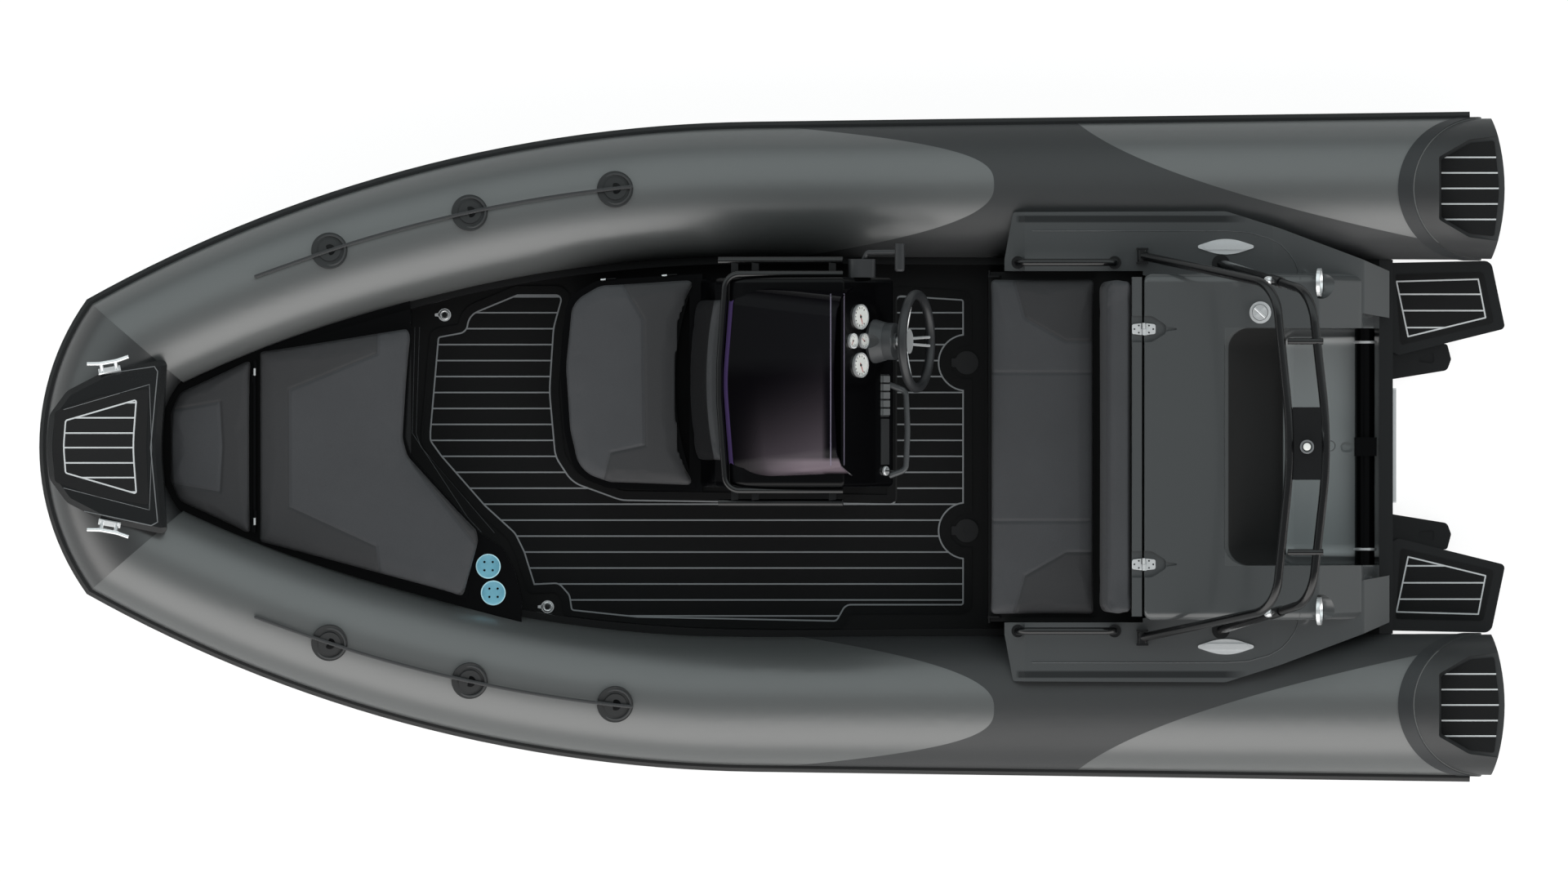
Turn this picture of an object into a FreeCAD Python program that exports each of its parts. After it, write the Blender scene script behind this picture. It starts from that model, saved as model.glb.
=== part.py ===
import FreeCAD, Part
import math
import os

# A 5 m rigid inflatable boat with a starboard steering console.
# Millimetres. X forward, Y to port, Z up, origin amidships on the centreline at the waterline.

V = FreeCAD.Vector

# Clearances and common thicknesses
RUNNING_GAP = 0.3
MOVING_GAP = 6.0

# Plan form of the side tubes, measured over the rubbing strake
SIDE_HALF_BEAM = 1146.0
STRAKE_END_X = -2383.0
SIDE_TOE_IN = math.radians(0.795)
SIDE_TANGENT_X = 66.0
SIDE_RADIUS = 4800.0
BOW_RADIUS = 860.0
BOW_CENTRE_X = 1643.0
MITRE_ANGLE = math.radians(40.7)

# Inflated tubes
TUBE_RADIUS_AFT = 243.0
TUBE_RADIUS_MID = 209.0
TUBE_RADIUS_BOW = 192.0
TUBE_AFT_X = -2400.0
TUBE_MID_X = 1300.0
TUBE_BOW_X = 2200.0
TUBE_Z_AFT = 270.0
TUBE_Z_BOW = 470.0
SHEER_START_X = 66.0
SHEER_END_X = 2250.0
STRAKE_DEPTH = 21.0
STRAKE_HEIGHT = 50.0
STRAKE_GROOVE = 5.0
TUBE_START_X = -2720.0
FORE_STATIONS = (SIDE_TANGENT_X, 300, 550, 800, 1050, 1300, 1550, 1800, 2030, 2250, 2460)
BOW_ANGLES = (-48, -36, -24, -12, 0, 12, 24, 36, 48)

# Tube ends
END_BAND_TOP_X = -2132.0
END_BAND_WIDTH = 50.0
END_BAND_THICKNESS = 3.0
END_CAP_X = -2498.0
END_CAP_BULGE = 50.0
END_TURN_RADIUS = 120.0
END_CAP_INSET = 3.0
END_STEP_X = -2272.0
END_STEP_Z = 430.0
END_PAD_THICKNESS = 4.0
END_PAD_MARGIN = 10.0
END_LINE_PITCH = 53.0

# Hull: keel, chine and side lines, as a table of offsets
TRANSOM_X = -2121.0
TRANSOM_THICKNESS = 47.0
TRANSOM_TOP_Z = 255.0
HULL_OFFSETS = [
    (-2121, -300, 640, -20),
    (-1000, -300, 640, -15),
    (0, -295, 630, -5),
    (800, -272, 580, 38),
    (1400, -205, 475, 110),
    (1800, -100, 352, 185),
    (2060, 25, 232, 240),
    (2240, 150, 110, 282),
    (2310, 245, 30, 300),
]
CHINE_FLAT = 30.0
HULL_TUBE_ANGLE = math.radians(52.0)
HULL_TUBE_BITE = 8.0
HULL_SIDE_TOP_Z = 560.0
HULL_BOW_LID = ((1240.0, 190.0), (2400.0, 320.0))
KEEL_RAIL_FRACTIONS = (0.36, 0.68)
KEEL_RAIL_WIDTH = 34.0
KEEL_RAIL_DEPTH = 14.0

# Cockpit floor and liner
FLOOR_Z = 110.0
FLOOR_THICKNESS = 12.0
LINER_MARGIN = 24.0
MAT_THICKNESS = 5.0
MAT_BORDER = 34.0
LINE_WIDTH = 5.0
LINE_DEPTH = 1.0
LINE_PITCH = 54.7
LINE_FIRST_Y = 33.0
COCKPIT_AFT_X = TRANSOM_X + TRANSOM_THICKNESS
MAT_OUTLINE = [
    (877, -522, 0), (1046, -452, 60), (1052, -395, 30), (1149, -377, 12), (1177, -52, 8),
    (1177, -20, 30), (1139, 33, 30), (989, 204, 60), (886, 298, 60), (855, 361, 80),
    (820, 474, 0), (735, 470, 30), (700, 510, 30), (692, 562, 12), (464, 586, 0),
    (-219, 600, 20), (-250, 544, 30), (-654, 544, 10), (-654, -505, 10),
    (-420, -520, 20), (-420, 195, 20), (520, 181, 120), (687, 120, 100), (744, 33, 100),
    (764, -190, 400), (750, -407, 200), (718, -522, 20)]
SOCKET_PLACES = ((-664.0, -288.0), (-664.0, 288.0))
SOCKET_RADIUS = 40.0
SOCKET_NECK = 15.0
SOCKET_ROOM = 57.0
SOCKET_BORDER = 94.0
SOCKET_HEIGHT = 6.0
PAD_EYE_PLACES = ((1126.0, -452.0), (773.0, 549.0))

# Bow locker, its lids and cushions
LOCKER_AFT_X = 1240.0
LINER_TOP = ((COCKPIT_AFT_X, 275.0), (450.0, 275.0), (LOCKER_AFT_X, 375.0))
LOCKER_TOP_Z = 425.0
LOCKER_FLOOR_Z = 262.0
SMALL_FLOOR_Z = 300.0
LID_THICKNESS = 18.0
BOW_CUSHION_TOP_Z = 500.0
BOW_HINGE_X = 1768.0
BOW_RIB_THICKNESS = 8.0
BOW_RIB_TOP_Z = 488.0
BOW_PIN_Z = 503.0
BOW_PIN_DIAMETER = 8.0
BOW_HINGE_YS = (-255.0, 255.0)
BOW_KNUCKLE_LENGTH = 24.0
CUSHION_TUBE_GAP = 24.0
LOCKER_OUTLINE = [
    (1245, -700, 0), (1236, -410, 30), (1256, -33, 40), (1240, 28, 60), (1000, 296, 30),
    (925, 345, 40), (880, 430, 60), (858, 520, 30), (858, 700, 0), (2250, 700, 0), (2250, -700, 0)]
LID_MAIN_AFT = [
    (1245, -700, 0), (1237, -410, 30), (1256, -33, 40), (1240, 28, 60), (1005, 290, 12),
    (1000, 329, 12), (1035, 455, 30), (1068, 700, 0)]
BOW_LEAF_REACH = 7.5
BOW_LEAF_THICKNESS = 2.0
CUP_PLACES = ((972.0, 408.0), (955.0, 499.0))
CUP_OUTER = 84.0
CUP_WALL = 3.0
CUP_DEPTH = 72.0
CUP_LIP = 3.0

# Bow moulding over the bow tube
BOW_MOULDING_TOP_Z = 694.0
BOW_MOULDING_DROOP = 20.0
BOW_MOULDING_BOTTOM_Z = 440.0
BOW_MOULDING_BEVEL = 32.0
BOW_PAD_THICKNESS = 4.0
BOW_PAD_RECESS = 2.0
BOW_MOULDING_OUTLINE = [
    (2060, -300, 20), (2277, -255, 60), (2403, -190, 60), (2462, -110, 40), (2474, 0, 500),
    (2462, 110, 40), (2403, 190, 60), (2277, 255, 60), (2060, 300, 20), (2084, 0, 900)]
BOW_PAD_OUTLINE = [
    (2123, -198, 10), (2290, -172, 60), (2444, -120, 20), (2450, 0, 500), (2444, 120, 20),
    (2290, 172, 60), (2123, 198, 10), (2133, 0, 900)]
BOW_PAD_LINE = [
    (2163, -163, 8), (2409, -91, 12), (2416, 0, 300), (2409, 91, 12), (2163, 163, 8), (2175, 0, 700)]
BOW_PAD_LINE_YS = (-150.0, -98.5, -46.5, 3.0, 55.0, 105.0, 154.0)

# Console, seat and helm
CONSOLE_Y = -219.0
CONSOLE_WIDTH = 712.0
CONSOLE_STARBOARD_Y = CONSOLE_Y - CONSOLE_WIDTH / 2.0
CONSOLE_PORT_Y = CONSOLE_Y + CONSOLE_WIDTH / 2.0
SEAT_BASE_TOP_Z = 468.0
SEAT_LID_THICKNESS = 16.0
SEAT_CUSHION_TOP_Z = 540.0
DASH_TOP = (-236.0, 940.0)
DASH_FOOT = (-350.0, 780.0)
SWITCH_FOOT = (-409.0, 690.0)
SCREEN_THICKNESS = 5.0
SCREEN_BOW = 26.0
SCREEN_BASE_Z = 800.0
SCREEN_TOP_Z = 1060.0
SCREEN_BASE_X = 158.0
SCREEN_TOP_X = -205.0
RAIL_DIAMETER = 22.0
SIDE_RAIL_DIAMETER = 25.0
SIDE_RAIL_Z = 770.0
SIDE_RAIL_STANDOFFS = ((-1, 58.0), (1, 53.0))
GAUGE_LARGE = 85.0
GAUGE_SMALL = 52.0
WHEEL_CENTRE = (-487.0, -358.0, 820.0)
WHEEL_TILT = math.radians(18.0)
WHEEL_DIAMETER = 350.0
WHEEL_RIM = 32.0
WHEEL_HUB = 84.0
SHROUD = ((74.0, 62.5), (106.0, 62.5), (106.0, 64.0), (148.0, 76.0), (178.0, 58.0), (215.0, 58.0))
CONSOLE_OUTLINE = [
    (241, CONSOLE_STARBOARD_Y, 40), (241, CONSOLE_PORT_Y, 40),
    (-409, CONSOLE_PORT_Y, 30), (-409, CONSOLE_STARBOARD_Y, 30)]
SEAT_OUTLINE = [
    (258, CONSOLE_STARBOARD_Y - 3, 0), (594, -556, 90), (690, -500, 90), (714, -276, 300), (700, -60, 160),
    (665, 90, 110), (560, 128, 60), (258, CONSOLE_PORT_Y + 4, 0)]
SEAT_OUTLINE_WIDE = [
    (241, CONSOLE_STARBOARD_Y - 15, 0), (600, -568, 100), (705, -508, 100), (727, -276, 300), (713, -55, 170),
    (676, 98, 120), (565, 141, 70), (241, CONSOLE_PORT_Y + 17, 0)]
SEAT_AFT_CURVE = (
    (258.0, CONSOLE_STARBOARD_Y - 15), (333.0, CONSOLE_Y - 1), (258.0, CONSOLE_PORT_Y + 18))
SEAT_HINGE_A = (562.0, -571.0)
SEAT_HINGE_B = (353.0, -585.0)
SEAT_HINGE_Z = 490.0
SEAT_ROOM = [
    (285, -535, 20), (600, -515, 60), (650, -460, 60), (668, -276, 200), (655, -60, 100),
    (620, 60, 60), (540, 92, 40), (285, 100, 20)]
LOCKER_ROOM_FLOOR_Z = 150.0
GAUGES = ((-294.0, -441.0, GAUGE_LARGE), (-294.0, -277.0, GAUGE_LARGE),
          (-268.0, -359.0, GAUGE_SMALL), (-306.0, -359.0, GAUGE_SMALL))
SWITCH_Y = -174.0
SWITCH_COUNT = 5
SWITCH_PITCH = 28.0
BLANK_PANEL_Y = -17.0
KEY_Y = 82.0
THROTTLE_WIDTH = 62.0
THROTTLE_PIVOT = (-300.0, 835.0)
THROTTLE_KNOB = (-428.0, CONSOLE_STARBOARD_Y - 85.0, 925.0)
SPOKE_ANGLES = (90.0, 210.0, 330.0)
SPOKE_DIAMETER = 10.0

# Bench, backrest and stern moulding
BENCH_FRONT_X = -735.0
BENCH_AFT_X = -1100.0
BENCH_HALF_WIDTH = 577.0
BENCH_TOP_Z = 440.0
BENCH_LID_THICKNESS = 16.0
BENCH_CUSHION_TOP_Z = 503.0
BENCH_WALL = 25.0
BACKREST_FRONT_X = -1107.0
BACKREST_SHELL_X = -1220.0
BACKREST_BOTTOM_Z = 512.0
BACKREST_HINGE = (-1261.0, 735.0)
STERN_TOP_SLOPE = math.tan(math.radians(12.8))
SIDE_DECK_Z = 525.0
WELL_FRONT_X = -1535.0
WELL_FOOT_X = -1745.0
WELL_HALF_WIDTH = 405.0
WELL_FLOOR_Z = 150.0
BENCH_PIN_X = BENCH_FRONT_X - 3.0
BENCH_PIN_Z = 470.0
FUEL_PLACE = (-1658.0, -457.0)
FUEL_DIAMETER = 75.0
ROUND_FITTING = (-1856.0, 560.0)
ROUND_FITTING_DIAMETER = 96.0
HINGE_YS = (-400.0, 400.0)
HINGE_LENGTH = 42.0
HINGE_PIN = 10.0
HINGE_LEAF = [(6, -20, 3), (40, -16, 7), (40, 16, 7), (6, 20, 3)]
HINGE_LEAF_THICKNESS = 5.0
HINGE_POCKET_DEPTH = 12.0
HINGE_POCKET = [
    (-8, -45, 0), (26, -45, 34), (76, -14, 20), (76, 14, 20), (26, 45, 34), (-8, 45, 0)]
HINGE_TAIL = [(66, -9, 0), (112, -3, 2), (112, 3, 2), (66, 9, 0)]
HINGE_TAIL_DEPTH = 5.0
SIDE_DECK_OUTLINE = [
    (-790, 640, 0), (-819, 800, 10), (-1544, 803, 60), (-1728, 745, 80), (-2012, 640, 20),
    (-2107, 600, 0), (-2107, 440, 0), (BACKREST_HINGE[0], 585, 0), (-790, 600, 0)]
WELL_TUBE_X = -2026.0
WELL_TUBE_DIAMETER = 68.0
WELL_COLLAR_YS = (-358.0, 351.0)
WELL_DRAIN = (-1965.0, 2.0)
HANDRAIL_Y = 628.0
HANDRAIL_XS = (-835.0, -1165.0)
HANDRAIL_RISE = 62.0
POPUP_CLEAT = (-1544.0, 682.0)

# Outboard engine's place on the transom
ENGINE_PLATE_X = -2133.0
ENGINE_PLATE_YS = (-200.0, 192.0)
ENGINE_PLATE_ZS = (-60.0, 240.0)
ENGINE_CENTRE_Y = -4.0
ENGINE_BOLT = 13.5
ENGINE_UPPER_BOLTS = (327.0, 190.0)
ENGINE_LOWER_BOLTS = (250.8, -13.0)
ENGINE_LOWER_DEPTH = 56.0

# Folding arch
ARCH_TUBE = 30.0
ARCH_PIVOT = (-1259.0, 651.0, 545.0)
ARCH_AFT_FOOT = (-1527.0, 625.0, 528.0)
ARCH_FRONT_CORNER = (-1700.0, 548.0, 1088.0)
ARCH_FRONT_TOP = (-1756.0, 0.0, 1113.0)
ARCH_AFT_CORNER = (-1822.0, 523.0, 1078.0)
ARCH_AFT_TOP = (-1881.0, 0.0, 1105.0)
ARCH_SPLIT = 0.56
ARCH_LUG_HALF = 20.0
ARCH_EAR_GAP = 1.0
ARCH_EAR = 6.0
ARCH_RUNG_Y = 357.0

# Swim platforms
PLATFORM_TOP_Z = 195.0
PLATFORM_THICKNESS = 32.0
PLATFORM_PAD = 4.0
PLATFORM_OUTLINE = [
    (-2122, 630, 0), (-2459, 637, 30), (-2506, 413, 14), (-2498, 402, 14), (-2143, 314, 10),
    (-2122, 324, 0)]
PLATFORM_PAD_OUTLINE = [
    (-2132, 590, 10), (-2432, 596, 14), (-2468, 425, 10), (-2150, 348, 10)]
PLATFORM_LINE = [
    (-2132, 568, 3), (-2417, 576, 3), (-2443, 440, 3), (-2173, 374, 3)]
PLATFORM_LINE_YS = (408.0, 466.0, 522.0)
PAD_LINE_WIDTH = 5.0
PAD_LINE_DEPTH = 1.0

# Lifelines
LIFELINE_OFFSET = 34.0
PATCH_XS = (1594.0, 1106.0, 584.0)
PATCH_RADIUS = 62.0
ROPE = 12.0
ROPE_STATIONS = ((1851, 12), (1594, 20), (1350, 20), (1106, 20), (845, 20), (584, 20), (520, 16))

os.makedirs("parts", exist_ok=True)


def smooth(t):
    t = min(max(t, 0.0), 1.0)
    return t * t * (3.0 - 2.0 * t)


def blend(a, b, t):
    return a + (b - a) * t


def rounded_wire(points, radii, closed):
    """Straight runs through the points, each corner replaced by a tangent arc of its radius."""
    count = len(points)
    ends = []
    for i, point in enumerate(points):
        open_end = not closed and i in (0, count - 1)
        if open_end or radii[i] <= 0.0:
            ends.append((point, None, point))
            continue
        back = (points[i - 1] - point).normalize()
        ahead = (points[(i + 1) % count] - point).normalize()
        half = back.getAngle(ahead) / 2.0
        reach = radii[i] / math.tan(half)
        middle = (back + ahead).normalize()
        crown = point + middle * (radii[i] / math.sin(half) - radii[i])
        ends.append((point + back * reach, crown, point + ahead * reach))
    edges = []
    for i in range(count):
        first, crown, last = ends[i]
        if crown is not None:
            edges.append(Part.Arc(first, crown, last).toShape())
        if i == count - 1 and not closed:
            break
        start = ends[(i + 1) % count][0]
        if last.distanceToPoint(start) > 0.01:
            edges.append(Part.LineSegment(last, start).toShape())
    return Part.Wire(edges)


def plan_wire(outline, z):
    """A closed outline in plan from (x, y, corner radius)."""
    return rounded_wire([V(x, y, z) for x, y, r in outline], [r for x, y, r in outline], True)


def plan_prism(outline, z0, z1):
    return Part.Face(plan_wire(outline, z0)).extrude(V(0, 0, z1 - z0))


def side_prism(outline, y0, y1):
    """A closed outline in side view from (x, z, corner radius), extruded from y0 to y1."""
    points = [V(x, y0, z) for x, z, r in outline]
    wire = rounded_wire(points, [r for x, z, r in outline], True)
    return Part.Face(wire).extrude(V(0, y1 - y0, 0))


def box(x0, x1, y0, y1, z0, z1):
    return Part.makeBox(x1 - x0, y1 - y0, z1 - z0, V(x0, y0, z0))


def rod(start, end, diameter):
    run = end - start
    return Part.makeCylinder(diameter / 2.0, run.Length, start, run)


def tube_along(points, radii, diameter):
    path = rounded_wire([V(*p) for p in points], radii, False)
    start = V(*points[0])
    heading = V(*points[1]) - start
    ring = Part.Wire(Part.makeCircle(diameter / 2.0, start, heading))
    return path.makePipeShell([ring], True, True)


def mirrored(shape):
    return shape.mirror(V(0, 0, 0), V(0, 1, 0))


def both(shape):
    return [shape, mirrored(shape)]


def placed(shape, origin, e1, e2):
    """Moves a shape drawn about the origin so that its X and Y axes lie along e1 and e2."""
    e1 = V(e1).normalize()
    e3 = e1.cross(e2).normalize()
    e2 = e3.cross(e1)
    matrix = FreeCAD.Matrix(
        e1.x, e2.x, e3.x, origin.x,
        e1.y, e2.y, e3.y, origin.y,
        e1.z, e2.z, e3.z, origin.z,
        0, 0, 0, 1)
    moved = shape.copy()
    moved.Placement = FreeCAD.Placement(matrix)
    return moved


def save(name, shapes):
    solids = []
    for shape in shapes:
        solids.extend(shape.Solids)
    Part.makeCompound(solids).exportStep(f"parts/{name}.step")
    bad = sum(1 for solid in solids if not solid.isValid())
    volume = sum(solid.Volume for solid in solids)
    print(f"{name}: {len(solids)} solids, {volume / 1e6:.2f} litres, {bad} invalid")


# Plan geometry of the tubes

def side_centre():
    """Centre of the long side arc: square to the straight run at its forward end."""
    half_beam = SIDE_HALF_BEAM - (SIDE_TANGENT_X - STRAKE_END_X) * math.tan(SIDE_TOE_IN)
    x = SIDE_TANGENT_X - SIDE_RADIUS * math.sin(SIDE_TOE_IN)
    y = half_beam - SIDE_RADIUS * math.cos(SIDE_TOE_IN)
    return x, y


def side_line(x):
    """Outer half-beam at x, and the angle by which the side turns inboard there."""
    cx, cy = side_centre()
    if x <= SIDE_TANGENT_X:
        y = SIDE_HALF_BEAM - (x - STRAKE_END_X) * math.tan(SIDE_TOE_IN)
        return y, SIDE_TOE_IN
    turn = math.asin((x - cx) / SIDE_RADIUS)
    return cy + SIDE_RADIUS * math.cos(turn), turn


def corner_point():
    """The bow corner, taken on the port side ahead of the bow arc's centre."""
    cx, cy = side_centre()
    low, high = BOW_CENTRE_X, BOW_CENTRE_X + BOW_RADIUS
    for _ in range(60):
        x = (low + high) / 2.0
        side_y = side_line(x)[0]
        bow_y = math.sqrt(max(BOW_RADIUS ** 2 - (x - BOW_CENTRE_X) ** 2, 0.0))
        if bow_y > side_y:
            low = x
        else:
            high = x
    return x, side_line(x)[0]


def tube_radius(x):
    if x <= TUBE_MID_X:
        t = (x - TUBE_AFT_X) / (TUBE_MID_X - TUBE_AFT_X)
        return blend(TUBE_RADIUS_AFT, TUBE_RADIUS_MID, t)
    t = (x - TUBE_MID_X) / (TUBE_BOW_X - TUBE_MID_X)
    return blend(TUBE_RADIUS_MID, TUBE_RADIUS_BOW, min(t, 1.0))


def tube_height(x):
    t = (x - SHEER_START_X) / (SHEER_END_X - SHEER_START_X)
    return blend(TUBE_Z_AFT, TUBE_Z_BOW, smooth(t))


def inner_edge(x):
    """Half-beam of the tube's inner edge at x, seen from above."""
    y, turn = side_line(x)
    return y - (STRAKE_DEPTH + 2.0 * tube_radius(x)) / math.cos(turn)


def side_frame(x):
    """Point on the strake's outer face, and the directions outboard, up and along the tube."""
    y, turn = side_line(x)
    outboard = V(math.sin(turn), math.cos(turn), 0)
    step = 1.0
    rise = (tube_height(x + step) - tube_height(x - step)) / (2.0 * step) * math.cos(turn)
    along = V(math.cos(turn), -math.sin(turn), rise).normalize()
    return V(x, y, tube_height(x)), outboard, along.cross(outboard)


def side_loft(section, start_x):
    """Lofts a closed section, drawn with X outboard and Y up: the straight run, then the curved."""
    def station(x):
        point, outboard, up = side_frame(x)
        return placed(section(x), point, outboard, up)
    straight = Part.makeLoft([station(start_x), station(SIDE_TANGENT_X)], True, True)
    curved = Part.makeLoft([station(x) for x in FORE_STATIONS], True, False)
    return straight, curved


def bow_width(angle):
    """Half-width of the bow tube, widened towards the seam to meet the side tube there."""
    corner_x, corner_y = CORNER
    reach = math.atan2(corner_y, corner_x - BOW_CENTRE_X)
    side_turn = side_line(corner_x)[1]
    normal = math.pi / 2.0 - MITRE_ANGLE
    wide = math.cos(abs(normal - (math.pi / 2.0 - reach))) / math.cos(abs(normal - side_turn))
    return TUBE_RADIUS_BOW * blend(1.0, wide, min(abs(angle) / reach, 1.3) ** 2)


def bow_loft(section):
    """Lofts a closed section round the bow arc."""
    wires = []
    for degrees in BOW_ANGLES:
        angle = math.radians(degrees)
        outboard = V(math.cos(angle), math.sin(angle), 0)
        point = V(BOW_CENTRE_X, 0, TUBE_Z_BOW) + outboard * BOW_RADIUS
        wires.append(placed(section(angle), point, outboard, V(0, 0, 1)))
    return Part.makeLoft(wires, True, False)


def ellipse_wire(centre_x, a, b):
    if a - b < 1e-6:
        return Part.Wire(Part.Circle(V(centre_x, 0, 0), V(0, 0, 1), a).toShape())
    ellipse = Part.Ellipse(V(centre_x, 0, 0), a, b)
    return Part.Wire(ellipse.toShape())


def half_space(point, normal, size=6000.0):
    """A large block on the side of the plane that the normal points to."""
    block = Part.makeBox(size, size, size, V(-size / 2.0, -size / 2.0, 0))
    side = V(0, 0, 1) if abs(normal.z) < 0.9 else V(1, 0, 0)
    e1 = side.cross(normal).normalize()
    return placed(block, point, e1, normal.cross(e1))


CORNER = corner_point()
MITRE_NORMAL = V(math.sin(MITRE_ANGLE), -math.cos(MITRE_ANGLE), 0)
AHEAD_OF_MITRE = half_space(V(CORNER[0], CORNER[1], 0), MITRE_NORMAL)
ABAFT_MITRE = half_space(V(CORNER[0], CORNER[1], 0), MITRE_NORMAL * -1.0)


def port_tube_body(extra):
    def section(x):
        r = tube_radius(x)
        return ellipse_wire(-STRAKE_DEPTH - r, r + extra, r + extra)
    return side_loft(section, TUBE_START_X)


def bow_tube_body(extra):
    def section(angle):
        a = bow_width(angle)
        return ellipse_wire(-STRAKE_DEPTH - a, a + extra, TUBE_RADIUS_BOW + extra)
    return bow_loft(section)


def end_slice(shift):
    """Everything abaft the tube end's slanted plane, moved aft by shift."""
    top_z = TUBE_Z_AFT + TUBE_RADIUS_AFT
    reach = 600.0
    x = END_BAND_TOP_X - shift
    drop = top_z - TUBE_Z_AFT
    outline = [
        (x + reach, top_z + reach, 0), (x - drop, TUBE_Z_AFT, END_TURN_RADIUS), (x - drop, -500, 0),
        (x - 1500, -500, 0), (x - 1500, top_z + reach, 0)]
    return side_prism(outline, -1500.0, 1500.0)


AFT_CLEAR, FORE_CLEAR = port_tube_body(RUNNING_GAP)
FORE_CLEAR = FORE_CLEAR.cut(AHEAD_OF_MITRE)
BOW_CLEAR = bow_tube_body(RUNNING_GAP).cut([ABAFT_MITRE, mirrored(ABAFT_MITRE)])
STERN_TUBES = [AFT_CLEAR, mirrored(AFT_CLEAR)]
FORE_TUBES = [FORE_CLEAR, mirrored(FORE_CLEAR), BOW_CLEAR]
BAND_CLEAR = port_tube_body(END_BAND_THICKNESS + RUNNING_GAP)[0].common(end_slice(-2.0))


def tubes():
    straight, curved = port_tube_body(0.0)
    side = straight.cut(end_slice(END_BAND_WIDTH)).fuse(curved.cut(AHEAD_OF_MITRE))
    save("tube_port", [side])
    save("tube_starboard", [mirrored(side)])
    bow = bow_tube_body(0.0).cut([ABAFT_MITRE, mirrored(ABAFT_MITRE)])
    save("tube_bow", [bow])


def tube_ends():
    """Reinforcing bands, moulded end caps with a step, and the step pads."""
    band = port_tube_body(END_BAND_THICKNESS)[0].common(end_slice(0.0))
    band = band.cut([AFT_CLEAR, end_slice(END_BAND_WIDTH)])
    save("tube_end_bands", both(band))

    def section(x):
        r = tube_radius(x)
        return ellipse_wire(-STRAKE_DEPTH - r, r - END_CAP_INSET, r - END_CAP_INSET)
    cap = side_loft(section, TUBE_START_X)[0].common(end_slice(END_BAND_WIDTH + RUNNING_GAP))
    inner = inner_edge(END_CAP_X)
    outer = inner + 2.0 * TUBE_RADIUS_AFT
    middle = (inner + outer) / 2.0
    plan = Part.Wire([
        Part.Arc(V(END_CAP_X + END_CAP_BULGE, inner - 20, -200), V(END_CAP_X, middle, -200),
                 V(END_CAP_X + END_CAP_BULGE, outer + 20, -200)).toShape(),
        Part.LineSegment(V(END_CAP_X + END_CAP_BULGE, outer + 20, -200),
                         V(-1800, outer + 20, -200)).toShape(),
        Part.LineSegment(V(-1800, outer + 20, -200), V(-1800, inner - 20, -200)).toShape(),
        Part.LineSegment(V(-1800, inner - 20, -200),
                         V(END_CAP_X + END_CAP_BULGE, inner - 20, -200)).toShape()])
    cap = cap.common(Part.Face(plan).extrude(V(0, 0, 1000)))
    step = [
        (END_STEP_X, middle - 107, 12), (END_STEP_X, middle + 107, 12),
        (END_STEP_X - 104, middle + 167, 40), (END_CAP_X - 60, middle + 190, 0),
        (END_CAP_X - 60, middle - 190, 0), (END_STEP_X - 104, middle - 167, 40)]
    cap = cap.cut(plan_prism(step, END_STEP_Z, END_STEP_Z + 400))
    save("tube_end_caps", both(cap))
    pad = [
        (END_STEP_X - END_PAD_MARGIN, middle - 98, 10), (END_STEP_X - END_PAD_MARGIN, middle + 98, 10),
        (END_STEP_X - 108, middle + 155, 40), (END_CAP_X + 36, middle + 163, 8),
        (END_CAP_X + 18, middle, 400), (END_CAP_X + 36, middle - 163, 8),
        (END_STEP_X - 108, middle - 155, 40)]
    pad = plan_prism(pad, END_STEP_Z, END_STEP_Z + END_PAD_THICKNESS)
    top = END_STEP_Z + END_PAD_THICKNESS
    lines = []
    for i in range(-2, 3):
        y = middle + i * END_LINE_PITCH
        line = box(END_CAP_X, END_STEP_X, y - PAD_LINE_WIDTH / 2, y + PAD_LINE_WIDTH / 2,
                   top - PAD_LINE_DEPTH, top)
        lines.append(line.common(pad))
    save("end_cap_pads", both(pad.cut(lines)))
    return lines


def strake_section():
    h, d = STRAKE_HEIGHT / 2.0, STRAKE_DEPTH
    points = [
        V(-d - 12, -h, 0), V(-d * 0.6, -h, 0), V(0, -h * 0.62, 0), V(0, -h * 0.2, 0),
        V(-STRAKE_GROOVE, 0, 0), V(0, h * 0.2, 0), V(0, h * 0.62, 0), V(-d * 0.6, h, 0),
        V(-d - 12, h, 0)]
    return Part.makePolygon(points + points[:1])


def rubbing_strake():
    straight, curved = side_loft(lambda x: strake_section(), STRAKE_END_X)
    side = straight.cut([AFT_CLEAR, BAND_CLEAR]).fuse(curved.cut([AHEAD_OF_MITRE, FORE_CLEAR]))
    bow = bow_loft(lambda angle: strake_section())
    bow = bow.cut([ABAFT_MITRE, mirrored(ABAFT_MITRE), BOW_CLEAR])
    save("rubbing_strake", both(side) + [bow])


def hull_side(x, chine_y, chine_z):
    """Where the topside meets the tube: under its inner quarter, or under the bow tube ahead."""
    if x > HULL_OFFSETS[-3][0]:
        return chine_y * 1.3, TUBE_Z_BOW - TUBE_RADIUS_BOW + 3.0 * HULL_TUBE_BITE
    r = tube_radius(x)
    y, turn = side_line(x)
    centre_y = y - (STRAKE_DEPTH + r) / math.cos(turn)
    reach = r - HULL_TUBE_BITE
    side_z = tube_height(x) - reach * math.sin(HULL_TUBE_ANGLE)
    return centre_y - reach * math.cos(HULL_TUBE_ANGLE) / math.cos(turn), side_z


def hull_section(offset):
    x, keel_z, chine_y, chine_z = offset
    side_y, side_z = hull_side(x, chine_y, chine_z)
    flat = min(CHINE_FLAT, chine_y * 0.25)
    half = [
        (0, keel_z), (chine_y, chine_z), (chine_y + flat, chine_z + 5),
        (side_y, side_z), (side_y, HULL_SIDE_TOP_Z)]
    points = [V(x, y, z) for y, z in half]
    points += [V(x, -y, z) for y, z in reversed(half[1:])]
    return Part.makePolygon(points + points[:1])


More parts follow.
